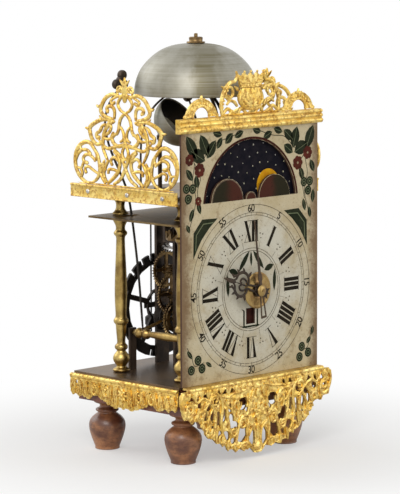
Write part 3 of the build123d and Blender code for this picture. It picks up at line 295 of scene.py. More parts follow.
def aged_metal(name, light, dark, rough, metallic=1.0, scale=45):
    """Metal that has gone darker in clouds."""
    f = Finish(name)
    clouds = f.noise(scale, 7, 0.6)
    specks = f.noise(700, 4, 0.7)
    colour = f.mix(clouds.above(0.5, 0.2), dark, light)
    colour = f.mix(specks.above(0.62, 0.1) * 0.5, colour, dark)
    return f.surface(Base_Color=colour, Metallic=metallic, Roughness=rough + clouds * 0.2,
                     Normal=f.bump(specks, 0.15, 0.0004))


GILDING = gilding()
HAND_IRON = aged_metal("hand_iron", (0.045, 0.028, 0.018), (0.10, 0.06, 0.03), 0.5, 0.45)
HAND_BRASS = aged_metal("hand_brass", (0.055, 0.034, 0.018), (0.02, 0.013, 0.009), 0.5, 0.5)
ALARM_BRASS = aged_metal("alarm_brass", (0.46, 0.33, 0.12), (0.16, 0.07, 0.03), 0.3, 0.95)
DARK_BRASS = aged_metal("dark_brass", (0.36, 0.24, 0.10), (0.10, 0.06, 0.03), 0.3)
IRON = aged_metal("browned_iron", (0.12, 0.085, 0.06), (0.035, 0.028, 0.024), 0.38, 0.8)
BLACK_IRON = aged_metal("black_iron", (0.05, 0.042, 0.036), (0.015, 0.013, 0.012), 0.42, 0.7)
STEEL = aged_metal("steel", (0.62, 0.60, 0.57), (0.34, 0.32, 0.30), 0.25)
PLATE_BRASS = aged_metal("brown_brass_plate", (0.34, 0.24, 0.11), (0.11, 0.07, 0.036), 0.3, 1.0, 30)
PILLAR_BRASS = aged_metal("pillar_brass", (0.60, 0.44, 0.15), (0.22, 0.135, 0.045), 0.24, 1.0, 60)
ARBOR_BRASS = aged_metal("arbor_brass", (0.56, 0.40, 0.14), (0.22, 0.125, 0.045), 0.26, 1.0, 60)
BASE_IRON = aged_metal("base_iron", (0.24, 0.165, 0.10), (0.085, 0.055, 0.036), 0.3, 0.8, 18)
print("metals", len(bpy.data.materials))

# %% [markdown]
# ## Bell metal
#
# The bells are grey bronze. The lathe left fine level rings on them, so one noise is
# stretched until it is thin in height and wide all round. Another is drawn out upright for
# the streaks, and a dark olive streak runs down the front.

# %% Bell metal
BELL_BACK = 71


def lathe_turned_bell():
    """Grey bell metal with rings from the lathe and one dark olive streak down its front."""
    f = Finish("bell_metal")
    rings = f.noise(1.0, 3, 0.6, f.stretched((9, 9, 950)))
    streaks = f.noise(1.0, 5, 0.6, f.stretched((55, 55, 16)))
    clouds = f.noise(26, 6, 0.6)
    # A dark olive band down the front, upright as the camera sees the bell.
    along_front = f.axis("X") * 0.705 - (f.axis("Y") - from_dial(0, BELL_BACK, 0).y) * 0.71 - 0.010
    olive_streak = (streaks * 0.03 - along_front.math("ABSOLUTE")).above(0.004, 0.006)
    colour = f.mix(clouds.above(0.52, 0.16), (0.36, 0.35, 0.30), (0.24, 0.225, 0.165))
    colour = f.mix(streaks.above(0.6, 0.1) * 0.4, colour, (0.20, 0.18, 0.11))
    colour = f.mix(olive_streak * 0.75, colour, (0.13, 0.11, 0.045))
    colour = f.mix(rings.above(0.5, 0.2) * 0.3, colour, (0.48, 0.47, 0.43))
    return f.surface(Base_Color=colour, Metallic=0.85, Roughness=0.48 + clouds * 0.15,
                     Normal=f.bump(rings, 0.25, 0.0003))


BELL_METAL = lathe_turned_bell()
print("bell metal has", len(BELL_METAL.node_tree.nodes), "nodes")

# %% [markdown]
# ## Wood
#
# The feet and the board are a reddish burr wood under old wax. Stretched noise gives the
# grain, and a second noise adds curls to it.

# %% Wood
def waxed_wood(name, pale, dark, stretch):
    """Reddish wood with dark figure under a worn wax coat."""
    f = Finish(name)
    curls = f.noise(28, 5, 0.65)
    grain = f.noise(1.0, 6, 0.6, f.stretched(stretch))
    figure = (curls * 0.65 + grain * 0.5).above(0.58, 0.14)
    pores = f.noise(600, 3, 0.6)
    colour = f.mix(figure, dark, pale)
    colour = f.mix(pores.above(0.62, 0.08) * 0.4, colour, (0.05, 0.02, 0.01))
    return f.surface(Base_Color=colour, Roughness=0.34 + curls * 0.2, Coat_Weight=0.35 + grain * 0.2,
                     Coat_Roughness=0.25, Normal=f.bump(grain + pores, 0.12, 0.0005))


FOOT_WOOD = waxed_wood("foot_wood", (0.40, 0.17, 0.065), (0.115, 0.038, 0.018), (60, 60, 160))
BOARD_WOOD = waxed_wood("board_wood", (0.26, 0.07, 0.03), (0.11, 0.03, 0.018), (20, 160, 160))
print("woods", [wood.name for wood in (FOOT_WOOD, BOARD_WOOD)])

# %% [markdown]
# ## Paint
#
# The dial is oil paint on iron. It is cream, greyer in the middle where it was wiped and
# browner towards the edges, with fine speckles of dirt. A colour painted over it is worn
# through here and there, so every paint has a mask that lets the cream show.

# %% The dial's ground
CREAM = (0.52, 0.44, 0.28)
PALE_CREAM = (0.56, 0.53, 0.43)
OLD_BROWN = (0.16, 0.09, 0.04)
HALF_DIAL = 0.09
RING_RADIUS = 0.079


def dial_ground():
    """Cream oil paint, yellowed and chipped towards the edges of the plate."""
    f = Finish("dial_ground")
    x = f.axis("X")
    dx = x / RING_RADIUS
    dz = (f.axis("Z") - CENTRE.z) / RING_RADIUS
    out = (dx * dx + dz * dz).math("SQRT")
    clouds = f.noise(38, 7, 0.65)
    blots = f.noise(85, 5, 0.7)
    specks = f.noise(420, 4, 0.7)
    fine = f.noise(1400, 2, 0.6)
    colour = f.mix((out + clouds * 0.5).above(1.15, 0.25), PALE_CREAM, CREAM)
    colour = f.mix(clouds.above(0.56, 0.14) * 0.5, colour, (0.38, 0.29, 0.14))
    colour = f.mix(blots.above(0.62, 0.08) * (out.above(0.95, 0.3) * 0.6 + 0.12), colour, (0.27, 0.18, 0.08))
    edge = (x.math("ABSOLUTE") / HALF_DIAL + clouds * 0.24 + specks * 0.16).above(1.1, 0.09)
    colour = f.mix(edge * 0.9, colour, OLD_BROWN)
    colour = f.mix(specks.above(0.64, 0.06) * 0.6, colour, OLD_BROWN)
    colour = f.mix(fine.above(0.66, 0.05) * 0.45, colour, (0.12, 0.09, 0.05))
    behind_face = (f.axis("Y") - FACE_Y).above(0.0003, 0.0001)
    colour = f.mix(behind_face, colour, (0.07, 0.035, 0.022))
    return f.surface(Base_Color=colour, Roughness=0.5 + clouds * 0.2, Specular_IOR_Level=0.25,
                     Normal=f.bump(specks + clouds, 0.2, 0.0004))


DIAL_GROUND = dial_ground()
print("dial ground has", len(DIAL_GROUND.node_tree.nodes), "nodes")


# %% Paints
def matt_paint(f, colour, clouds, chips):
    """Ends a paint: hardly any shine, and uneven where it is chipped."""
    return f.surface(Base_Color=colour, Roughness=0.6 + clouds * 0.15, Specular_IOR_Level=0.05,
                     Normal=f.bump(chips, 0.12, 0.0002))


def worn_paint(name, first, second, wear=0.62, under=CREAM):
    """Paint of two close tones, worn through to what lies under it."""
    f = Finish(name)
    clouds = f.noise(160, 4, 0.6)
    chips = f.noise(520, 5, 0.75)
    colour = f.mix(clouds.above(0.5, 0.2), first, second)
    return matt_paint(f, f.mix(chips.above(wear, 0.05), colour, under), clouds, chips)


def hill_paint():
    """The hills' paint: green on the outer flank and brown-red on the inner one."""
    f = Finish("hill_paint")
    clouds = f.noise(60, 5, 0.65)
    chips = f.noise(420, 5, 0.7)
    outer = (f.axis("X").math("ABSOLUTE") + clouds * 0.012).above(0.036, 0.006)
    colour = f.mix(outer, (0.062, 0.020, 0.013), (0.022, 0.019, 0.010))
    colour = f.mix(chips.above(0.64, 0.06) * 0.7, colour, (0.012, 0.008, 0.007))
    return matt_paint(f, colour, clouds, chips)


BLACK_PAINT = worn_paint("black_paint", (0.010, 0.008, 0.005), (0.024, 0.018, 0.011), 0.72)
THIN_BLACK = worn_paint("thin_black_paint", (0.03, 0.025, 0.016), (0.08, 0.06, 0.035))
GREEN_PAINT = worn_paint("green_paint", (0.012, 0.017, 0.008), (0.026, 0.030, 0.016), 0.7)
LEAF_GREEN = worn_paint("leaf_green_paint", (0.11, 0.14, 0.075), (0.17, 0.18, 0.10), 0.7)
RED_PAINT = worn_paint("red_paint", (0.105, 0.022, 0.014), (0.05, 0.014, 0.009), 0.68)
WHITE_PAINT = worn_paint("white_paint", (0.38, 0.31, 0.17), (0.25, 0.2, 0.12), 0.7, (0.12, 0.08, 0.05))
EDGE_BROWN = worn_paint("edge_paint", (0.06, 0.016, 0.010), (0.028, 0.010, 0.007), 0.7, (0.014, 0.008, 0.006))
MOON_LINE = worn_paint("moon_line_paint", (0.22, 0.15, 0.11), (0.10, 0.07, 0.055), 0.7, (0.04, 0.02, 0.015))
NIGHT_PAINT = worn_paint("night_paint", (0.004, 0.004, 0.008), (0.012, 0.010, 0.014), 0.76,
                         (0.03, 0.03, 0.03))
STAR_PAINT = worn_paint("star_paint", (0.55, 0.50, 0.28), (0.32, 0.33, 0.33), 0.74, (0.07, 0.06, 0.07))
MOON_PAINT = worn_paint("moon_paint", (0.66, 0.35, 0.01), (0.52, 0.22, 0.008), 0.8, (0.3, 0.14, 0.01))
HILL_PAINT = hill_paint()
print("finishes", len(bpy.data.materials))

# %% [markdown]
# ## The floor's paper
#
# The floor is plain pale paper. Close to the clock the camera sees part paper, which catches
# the shadow, and part white glow. Further off it sees glow alone, so no edge shows behind
# the clock. Light that bounces sees only paper.

# %% The floor's paper
NEAR_GLOW = 0.4


def studio_paper():
    """Pale paper that fades to pure white away from the clock, for the camera only."""
    f = Finish("studio_paper")
    away = f.node("ShaderNodeVectorMath", {"operation": "LENGTH"}, {0: f.place}, "Value")
    seen_by_camera = f.node("ShaderNodeLightPath", {}, {}, "Is Camera Ray")
    colour = f.mix(f.noise(300, 3), (0.86, 0.86, 0.85), (0.9, 0.9, 0.89))
    paper = f.node("ShaderNodeBsdfPrincipled", {}, {"Base Color": colour, "Roughness": 0.85})
    glow = f.node("ShaderNodeEmission", {}, {"Color": (1, 1, 1), "Strength": 1.0})
    share = (away.above(0.26, 0.15) * (1 - NEAR_GLOW) + NEAR_GLOW) * seen_by_camera
    return f.end(f.node("ShaderNodeMixShader", {}, {0: share, 1: paper, 2: glow}))


floor_mesh.materials.append(studio_paper())
print("floor wears", floor_mesh.materials[0].name)

# %% [markdown]
# ## From a bmesh to a finished piece
#
# Every new piece ends the same way: its doubles are merged, its faces are turned outwards,
# it gets a finish, it rides on the body that carries it and it hides the plain solid that
# it stands for. One helper does that, so no step is forgotten.

# %% Finishing a piece
SHARP_DEGREES = 40


def finish_piece(name, bm, material, body, stands_for=(), subdivide=0, bevel=0.0):
    """Makes the object for bm and gives it its finish, its body and the solids it replaces."""
    bmesh.ops.remove_doubles(bm, verts=bm.verts, dist=1e-6)
    bmesh.ops.recalc_face_normals(bm, faces=bm.faces)
    mesh = bpy.data.meshes.new(name)
    bm.to_mesh(mesh)
    bm.free()
    mesh.materials.append(material)
    mesh.shade_smooth()
    mesh.set_sharp_from_angle(angle=radians(SHARP_DEGREES))
    piece = new_object(name, mesh)
    if bevel:
        rounding = piece.modifiers.new("edge_rounding", "BEVEL")
        rounding.width = bevel
        rounding.segments = 2
        rounding.limit_method = "ANGLE"
    if subdivide:
        softening = piece.modifiers.new("softening", "SUBSURF")
        softening.levels = softening.render_levels = subdivide
    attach(piece, body)
    if stands_for:
        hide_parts(*stands_for)
    return piece


def paint_node(material, *names):
    """Gives solids whose shape is already right their finish."""
    for name in names:
        mesh = frame["nodes"][name].data
        mesh.materials.clear()
        mesh.materials.append(material)


print("edges over", SHARP_DEGREES, "degrees stay sharp")

# %% [markdown]
# ## Turning on a lathe
#
# Feet, pillars, bells and hammer arbors are turned. In Blender that is a spin: a profile of
# a few points goes round an axis, and a subdivision surface rounds it off. Two points close
# together keep a crisp edge there, as a lathe tool leaves one.

# %% Turned work
def join(bm, part):
    """Adds a small bmesh to a big one. Operators are quick on a small one."""
    mesh = bpy.data.meshes.new("part")
    part.to_mesh(mesh)
    part.free()
    bm.from_mesh(mesh)
    bpy.data.meshes.remove(mesh)


def spun(bm, profile, steps, matrix):
    """Spins (radius, height) pairs in millimetres about the matrix's Z axis."""
    part = bmesh.new()
    line = [part.verts.new((r * MM, 0, h * MM)) for r, h in profile]
    edges = [part.edges.new(pair) for pair in zip(line, line[1:])]
    bmesh.ops.spin(part, geom=line + edges, cent=(0, 0, 0), axis=(0, 0, 1), angle=2 * pi,
                   steps=steps, use_merge=True)
    bmesh.ops.remove_doubles(part, verts=part.verts, dist=1e-7)
    bmesh.ops.transform(part, matrix=matrix, verts=part.verts)
    join(bm, part)


def standing(x, back, up=0):
    """A matrix that stands upright on a point given from the dial's foot."""
    return Matrix.Translation(from_dial(x, back, up))


def axis_matrix(origin, direction):
    """A matrix whose Z axis runs along direction from origin."""
    turn = Vector(direction).to_track_quat("Z", "Y").to_matrix().to_4x4()
    return Matrix.Translation(origin) @ turn


print("a turned part starts at", [round(v, 3) for v in standing(0, 0).translation])

# %% [markdown]
# ## Strokes: scrolls and leaves
#
# Cast scroll work is drawn with strokes that swell and taper. A stroke starts as one small
# ring of points. The ring is extruded along the line, step by step, and scaled to the width
# that the stroke has there. Leaves are strokes too, with a short fat belly.

# %% A working plane
class Panel:
    """A flat working plane: u runs along, v up and n out of it, all in millimetres."""

    def __init__(self, origin, along=(1, 0, 0), up=(0, 0, 1)):
        self.origin = Vector(origin)
        self.along = Vector(along).normalized()
        self.up = Vector(up).normalized()
        self.out = self.along.cross(self.up)

    def at(self, u, v, n=0.0):
        """The point in space for a place on the plane."""
        return self.origin + MM * (u * self.along + v * self.up + n * self.out)

    def matrix(self, u=0, v=0, n=0.0, flat=1.0):
        """A matrix that lays a flat shape on the plane, pressed flat by a factor."""
        turn = Matrix((self.along, self.up, self.out * flat)).transposed().to_4x4()
        turn.translation = self.at(u, v, n)
        return turn

    def axis(self, u=0, v=0):
        """A matrix for turned work that stands out from the plane."""
        return axis_matrix(self.at(u, v), self.out)


DIAL = Panel(CENTRE)
print("the dial faces", list(DIAL.out))


# %% Strokes
def heading_at(points, i):
    """The way a line runs at its point i."""
    return (Vector(points[min(i + 1, len(points) - 1)]) - Vector(points[max(i - 1, 0)])).normalized()


def sweep(bm, places, sides):
    """Carries one ring of points through the matrices in places and closes both ends."""
    ring = first = bmesh.ops.create_circle(bm, segments=sides, radius=1.0, matrix=places[0])["verts"]
    rim = {e for vert in ring for e in vert.link_edges}
    for last, place in zip(places, places[1:]):
        grown = bmesh.ops.extrude_edge_only(bm, edges=list(rim))["geom"]
        ring = [g for g in grown if isinstance(g, bmesh.types.BMVert)]
        rim = {g for g in grown if isinstance(g, bmesh.types.BMEdge) and all(v in ring for v in g.verts)}
        bmesh.ops.transform(bm, matrix=place @ last.inverted(), verts=ring)
    for end in (first, ring):
        bmesh.ops.contextual_create(bm, geom=end)


def stroke(bm, panel, points, widths, thick=2.4, lift=0.0, sides=6, mirror=True):
    """A tapering rounded strip along (u, v) points; widths are spread evenly over them."""
    part = bmesh.new()
    for flip in ((1, -1) if mirror else (1,)):
        places = []
        for i, (u, v) in enumerate(points):
            heading = heading_at(points, i)
            share = (i / (len(points) - 1)) * (len(widths) - 1)
            low = min(int(share), len(widths) - 2)
            width = widths[low] + (widths[low + 1] - widths[low]) * (share - low)
            depth = thick * min(1.0, 0.45 + width / 5)
            side = heading.y * flip * panel.along - heading.x * panel.up
            forward = flip * heading.x * panel.along + heading.y * panel.up
            place = Matrix((side * width * MM / 2, panel.out * depth * MM / 2, forward)).transposed().to_4x4()
            place.translation = panel.at(flip * u, v, lift)
            places.append(place)
        sweep(part, places, sides)
    join(bm, part)


def tube(bm, points, radius):
    """A round rod of even radius (metres) through points in space."""
    turn = (points[1] - points[0]).to_track_quat("Z", "Y").to_matrix()
    size = Matrix.Diagonal((radius, radius, radius, 1))
    places = []
    for i, point in enumerate(points):
        turn = turn.col[2].rotation_difference(heading_at(points, i)).to_matrix() @ turn
        places.append(Matrix.Translation(point) @ turn.to_4x4() @ size)
    sweep(bm, places, 8)


print("strokes go from ring to ring")


# %% Lines to draw along
def around(u, v, radius, degrees):
    """The point at this radius and angle from (u, v)."""
    angle = radians(degrees)
    return u + radius * cos(angle), v + radius * sin(angle)


def arc(u, v, radius, start, end, steps=24):
    """Points of a circular arc, angles in degrees."""
    return [around(u, v, radius, start + (end - start) * i / steps) for i in range(steps + 1)]


def disc(u, v, radius, corners):
    """The outline of a round patch."""
    return arc(u, v, radius, 0, 360 - 360 / corners, corners - 1)


def volute(u, v, radius, start, turn, shrink=0.6, stretch=1.0):
    """Points of a spiral that starts at an angle in degrees and winds inwards."""
    steps = max(8, int(abs(turn) / 18))
    line = []
    for i in range(steps + 1):
        share = i / steps
        du, dv = around(0, 0, radius * (1 - shrink * share ** 1.4), start + turn * share)
        line.append((u + du, v + stretch * dv))
    return line


def bend(*points, steps=6):
    """A smooth line through a few points, by the Catmull-Rom rule."""
    knots = [Vector(p) for p in (points[0], *points, points[-1])]
    line = []
    for a, b, c, d in zip(knots, knots[1:], knots[2:], knots[3:]):
        for i in range(steps):
            t = i / steps
            line.append(tuple(0.5 * (2 * b + (c - a) * t + (2 * a - 5 * b + 4 * c - d) * t * t
                                     + (3 * b - a - 3 * c + d) * t ** 3)))
    return line + [tuple(knots[-1])]


print("a bend through 3 points has", len(bend((0, 0), (1, 1), (2, 0))), "points")

# %% Leaves and beads
LEAF = (0.3, 1.0, 0.92, 0.6, 0.12)


def leaf(bm, panel, start, end, width, sway=0.0, thick=3.0, lift=0.4, mirror=True):
    """A pointed leaf with a raised rib, bowed sideways by sway millimetres."""
    a, b = Vector(start), Vector(end)
    across = Vector((-(b - a).y, (b - a).x)).normalized()
    line = bend(a, (a + b) / 2 + across * sway, b, steps=3)
    stroke(bm, panel, line, [w * width for w in LEAF], thick, lift, mirror=mirror)


def scrolls(bm, panel, table, steps, widen, thick, lift=0.0):
    """One stroke for each row of knots and widths in a table."""
    for knots, widths in table:
        stroke(bm, panel, bend(*knots, steps=steps), [widen * w for w in widths], thick, lift)


def leaves(bm, panel, table, widen=1.0, **style):
    """One leaf for each row of start, end and width in a table."""
    for start, end, width in table:
        leaf(bm, panel, start, end, widen * width, **style)


def rosette(bm, panel, u, v, reach, first, width, thick, lift):
    """Eight leaves round a spot. Each goes from the smaller to the larger reach."""
    for degrees in range(0, 360, 45):
        start, end = [around(u, v, radius, degrees + first) for radius in reach]
        leaf(bm, panel, start, end, width, 0, thick, lift, mirror=False)


def bead(bm, panel, u, v, radius, flat=0.8, lift=0.6, mirror=True):
    """A small raised bead."""
    part = bmesh.new()
    for flip in ((1, -1) if mirror else (1,)):
        bmesh.ops.create_icosphere(part, subdivisions=1, radius=radius * MM,
                                   matrix=panel.matrix(flip * u, v, lift, flat))
    join(bm, part)


print("a leaf is widest at", LEAF.index(max(LEAF)), "of", len(LEAF) - 1, "parts of its length")

# %% [markdown]
# ## The stand
#
# Four vase-shaped feet carry the board. Their belly sits high, above a waist with a thin
# collar, and a disc meets the board. They are turned from one profile and set down four
# times. The board and the iron plate on it have the right shape already.

# %% Feet and board
FOOT = (
    (0, 0), (11.6, 0), (11.9, 1.2), (11.3, 2.2), (12.6, 5), (15.4, 12), (17.3, 19), (17.6, 23.5),
    (16.6, 28), (12.6, 32), (8.8, 34.4), (8.2, 35.2), (10.8, 36), (11.2, 37.4), (10.6, 38.6), (7.3, 39.4),
    (6.9, 41.5), (7.4, 43), (12.4, 44.2), (12.9, 45.6), (12.6, 47.7), (0, 47.9))
feet_low, feet_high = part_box("feet")
bm = bmesh.new()
for x in (-68, 68):
    for back in (21.5, 122.7):
        spot = from_dial(x, back, 0)
        spot.z = 0
        spun(bm, FOOT, 28, Matrix.Translation(spot))
finish_piece("turned_feet", bm, FOOT_WOOD, "frame", ["feet"], subdivide=1)
paint_node(BOARD_WOOD, "base_board")
paint_node(BASE_IRON, "base_plate")
print("feet stand at", [round(v * 1000) for v in feet_low], [round(v * 1000) for v in feet_high])

# %% [markdown]
# ## Pillars
#
# Cast and turned brass pillars hold the plates apart. Each is a slender baluster over a vase
# foot, with a ring at mid height and a collar under the plate. A short spool goes on between
# the two upper plates.

# %% Pillars
PILLAR = (
    (0, 0), (8.2, 0), (8.3, 2.2), (7.4, 3.2), (4.6, 4.4), (4.4, 6), (6.2, 8), (8, 11), (8.1, 13.5),
    (7, 16.5), (4.4, 19), (3.9, 20.5), (6.1, 21.6), (6.4, 23.4), (6.1, 25.2), (4, 26.4), (3.8, 29),
    (4.6, 36), (5.1, 43.5), (5.2, 45), (7, 46.2), (7.3, 48), (7, 49.8), (5.2, 51), (5.2, 55), (5.9, 66),
    (6, 78), (5.4, 95), (4.5, 112), (4.1, 124), (4.1, 127.6), (6.2, 128.8), (6.6, 130.4), (6.2, 132),
    (4.3, 133.2), (4.2, 136.5), (5.4, 139.5), (7.5, 142.6), (7.7, 145.9), (0, 145.9))
SPOOL = (
    (0, 148), (7.9, 148), (8, 149.2), (4.4, 152), (3.9, 156), (4.2, 159.4), (6.2, 161.6), (6.5, 164.4),
    (0, 164.4))
bm = bmesh.new()
for x in (-66, 66):
    for back in (24, 105):
        for profile in (PILLAR, SPOOL):
            spun(bm, profile, 20, standing(x, back))
finish_piece("turned_pillars", bm, PILLAR_BRASS, "frame",
             ["pillar_front_left", "pillar_front_right", "pillar_rear_left", "pillar_rear_right"],
             subdivide=1)

# %% Finishes of plates, bars and wheels
paint_node(PLATE_BRASS, "movement_plate", "gallery_plate")
paint_node(IRON, "front_bar", "middle_bar", "rear_bar", "pillar_nuts", "potence", "verge_cock",
           "hammer_cocks", "locking_lever", "half_hour_bell_bracket")
paint_node(DARK_BRASS, "centre_wheel", "contrate_wheel", "crown_wheel", "going_great_wheel", "motion_wheel",
           "hour_wheel", "strike_great_wheel", "strike_second_wheel", "warning_wheel")
paint_node(BLACK_IRON, "count_wheel", "going_pulley", "strike_pulley", "pendulum")
paint_node(STEEL, "cannon_pinion", "going_great_arbor", "strike_great_arbor", "verge_staff", "fly")
print("wheels wear", frame["nodes"]["crown_wheel"].data.materials[0].name)

# %% [markdown]
# ## Bells
#
# The hour bell is a flat cup of grey bell metal that shows the rings of the lathe. It sits on
# a stand of three bent straps. The half-hour bell under it lies tilted, with its mouth to the
# front, and a thin black skin inside it is painted shade, so the inside shows dark.

# %% Bells
OUTER = (
    (1.8, 47.4), (10, 47.2), (20, 46), (28, 43.6), (34.6, 40.3), (40, 36.5), (47, 30), (52, 23.6),
    (55.5, 16), (57.3, 9), (57.9, 3), (58, 0.3), (57.4, 0))
INNER = (
    (56.5, 0.2), (56.3, 3), (55.7, 8.8), (53.9, 15.6), (50.5, 22.8), (45.8, 28.8), (39, 35.2), (33.8, 38.8),
    (27.4, 42), (19.6, 44.4), (10, 45.6), (1.8, 45.8), (1.8, 47.4))
bm = bmesh.new()
spun(bm, OUTER + INNER, 48, standing(0, BELL_BACK, 258))
finish_piece("hour_bell_cast", bm, BELL_METAL, "frame", ["hour_bell"], subdivide=1)

BORE = 1.8
SMALL_RADIUS, SMALL_HEIGHT = 25, 24
rise = SMALL_HEIGHT / OUTER[0][1]
share = SMALL_RADIUS / OUTER[-2][0]
cup = [(max(r * share, BORE), SMALL_HEIGHT - h * rise) for r, h in OUTER]
wall = [(max(r * share - 0.4, BORE), SMALL_HEIGHT - (h - 1.2) * rise) for r, h in INNER[:-1]]
wall[0] = (wall[0][0], SMALL_HEIGHT)
tilted = axis_matrix(from_dial(-10.5, 104, 219), (0.19, -0.77, 0.61))
bm = bmesh.new()
spun(bm, cup + wall + cup[:1], 36, tilted)
finish_piece("half_hour_bell_cast", bm, BELL_METAL, "frame", ["half_hour_bell"], subdivide=1)

# A thin black skin just inside the half-hour bell is painted shade for its mouth.
shade_skin = [(r - 0.05, h - 0.05) for r, h in wall[1:-1]]
bm = bmesh.new()
spun(bm, shade_skin + [(r - 0.2, h - 0.2) for r, h in shade_skin[::-1]] + shade_skin[:1], 36, tilted)
finish_piece("bell_inner_shade", bm, BLACK_IRON, "frame", subdivide=1)

# %% Bell stand
bm = bmesh.new()
for angle in (140, 20, 260):
    leg = Panel(from_dial(0, BELL_BACK, 0), (*around(0, 0, 1, angle), 0))
    curve = bend((2, 302.6), (9, 285), (17, 269), (27, 258), (39, 247), (47, 234), (51, 218), (52, 202),
                 (52, 184), (52, 167.2), steps=3)
    stroke(bm, leg, curve, (2.2, 2.2), 4.4, sides=8, mirror=False)
    stroke(bm, leg, ((51, 167.5), (55, 167.4), (60, 167.4)), (1.6, 1.6), 8, sides=8, mirror=False)
spun(bm, ((0, 301.4), (8, 301.4), (8, 303.4), (0, 303.4)), 20, standing(0, BELL_BACK))
finish_piece("bell_stand_straps", bm, IRON, "frame", ["bell_stand"], subdivide=1)

NUT = ((1.8, 305.5), (8.6, 305.6), (8.8, 306.2), (8.4, 306.8), (6.4, 307.1), (6.2, 307.4), (6.5, 310.4),
       (5.6, 311.2), (1.75, 311.3), (1.75, 314), (1.3, 314.5), (0, 314.6))
bm = bmesh.new()
spun(bm, NUT, 24, standing(0, BELL_BACK))
finish_piece("bell_nut_turned", bm, DARK_BRASS, "frame", ["bell_nut"])

# %% [markdown]
# ## Hammers
#
# The hour hammer hangs on a turned arbor at the left. Its thin stem bends out past the plates
# and ends in a trefoil head against the bell. The small hammer has a round knob.

# %% Hour hammer
ARBOR = (
    (0, 0), (2.8, 0), (2.9, 3), (4.6, 4), (4.6, 5), (3, 6.5), (2.8, 12), (3.6, 24), (4.1, 34), (3.6, 46),
    (2.8, 54), (2.8, 55.4), (5, 57.5), (5.2, 59), (5, 60.5), (3, 62.5), (3.4, 65), (5.3, 67.8), (5.2, 70),
    (3, 73), (2.4, 77), (0, 77))
bm = bmesh.new()
spun(bm, ARBOR, 18, axis_matrix(from_dial(-52, 26, 36), (0, 1, 0)))
tail = Panel(from_dial(-52, 100.8, 36))
stroke(bm, tail, ((0, 0), (14, 2), (26, 4.6), (37, 7.6)), (4, 3.2, 3, 3.6), 2, sides=8, mirror=False)
finish_piece("hammer_arbor_turned", bm, ARBOR_BRASS, "hour_hammer", ["hammer_arbor"], subdivide=1)

ROD_RADIUS = 1.2 * MM
STEM = (
    (-52, 90, 36), (-54.4, 90, 62), (-56.4, 90, 84), (-60, 90, 112), (-64.4, 90, 140), (-67.4, 90.2, 158),
    (-70.4, 91.4, 174), (-73, 99, 190), (-74.8, 108, 207), (-75, 113.6, 220), (-73, 118.4, 233),
    (-68, 120.6, 246), (-61.6, 119, 256), (-56.2, 117.2, 262.4))
bm = bmesh.new()
tube(bm, [from_dial(*p) for p in STEM], ROD_RADIUS)
finish_piece("hammer_stem_rod", bm, BLACK_IRON, "hour_hammer", ["hammer_stem"], subdivide=1)

head_low, head_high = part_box("hammer_head")
head_middle = (head_low + head_high) / 2
lean = radians(140)
head = Panel(head_middle, (cos(lean), 0, sin(lean)), (-sin(lean), 0, cos(lean)))
bm = bmesh.new()
for u, v, r in ((1.6, 5.4, 4.9), (1.6, -5.4, 4.9), (-5.4, 0, 4.6), (0.4, 0, 4)):
    spun(bm, ((0, -2.6), (r * 0.8, -2.6), (r, -1.8), (r, 1.8), (r * 0.8, 2.6), (0, 2.6)), 16, head.axis(u, v))
finish_piece("hammer_head_trefoil", bm, IRON, "hour_hammer", ["hammer_head"], subdivide=1)
print("hammer head at", [round(v * 1000) for v in head_middle])

# %% Half-hour hammer
bm = bmesh.new()
tube(bm, [from_dial(*p) for p in ((36, 98, 172), (35.4, 98, 186), (34.2, 98, 208), (31.6, 98, 222),
                                  (25, 98, 236), (16.4, 98, 252.6))], ROD_RADIUS)
tube(bm, [from_dial(36, back, 172.6) for back in (91.2, 98, 104.8)], 1.6 * MM)
spun(bm, ((0, -4), (2.6, -4), (4.3, -2.6), (4.6, 0), (4.3, 2.6), (2.6, 4), (0, 4)), 16,
     axis_matrix(from_dial(16, 98, 253), (1, 0, 0.4)))
finish_piece("half_hour_hammer_knob", bm, IRON, "small_hammer", ["half_hour_hammer"], subdivide=1)

# %% [markdown]
# ## Paint on the dial
#
# A painter lays the dial down in flat colours, and each colour is a skin with a thickness
# of its own. So every patch here is a thin closed plate just before the iron. Patches that
# overlap lie at different heights, which stops them from flickering through each other.

# %% Patches of paint
UNDER, MID, OVER = 0.0, 0.05, 0.1
STACK = 0.004


def patch(bm, outline, lift=UNDER, thick=0.06, panel=DIAL, mirror=False):
    """A flat skin of paint with this outline of (u, v) points."""
    part = bmesh.new()
    for flip in ((1, -1) if mirror else (1,)):
        face = part.faces.new([part.verts.new(panel.at(flip * u, v, lift)) for u, v in outline])
        grown = bmesh.ops.extrude_face_region(part, geom=[face], use_keep_orig=True)["geom"]
        top = [g for g in grown if isinstance(g, bmesh.types.BMVert)]
        bmesh.ops.translate(part, verts=top, vec=panel.out * thick * MM)
    join(bm, part)


def ribbon(points, width):
    """The outline of an even band along a line."""
    left, right = [], []
    for i, point in enumerate(points):
        heading = heading_at(points, i)
        across = Vector((-heading.y, heading.x)) * width / 2
        left.append(tuple(Vector(point) + across))
        right.append(tuple(Vector(point) - across))
    return left + right[::-1]


def blade(start, end, width, steps=5):
    """The outline of a painted leaf with two pointed ends."""
    a, b = Vector(start), Vector(end)
    across = Vector((-(b - a).y, (b - a).x)).normalized() * width / 2
    belly = [sin(pi * i / steps) ** 0.8 for i in range(1, steps)]
    one, other = [[tuple(a.lerp(b, (i + 1) / steps) + side * across * w) for i, w in enumerate(belly)]
                  for side in (1, -1)]
    return [start] + one + [end] + other[::-1]


def clockwise(degrees, u, v):
    """Where the point (u, v) comes after a turn about the dial's centre."""
    a = radians(degrees)
    return u * cos(a) + v * sin(a), v * cos(a) - u * sin(a)


print("paint lies", UNDER, "to", OVER, "mm before the iron")

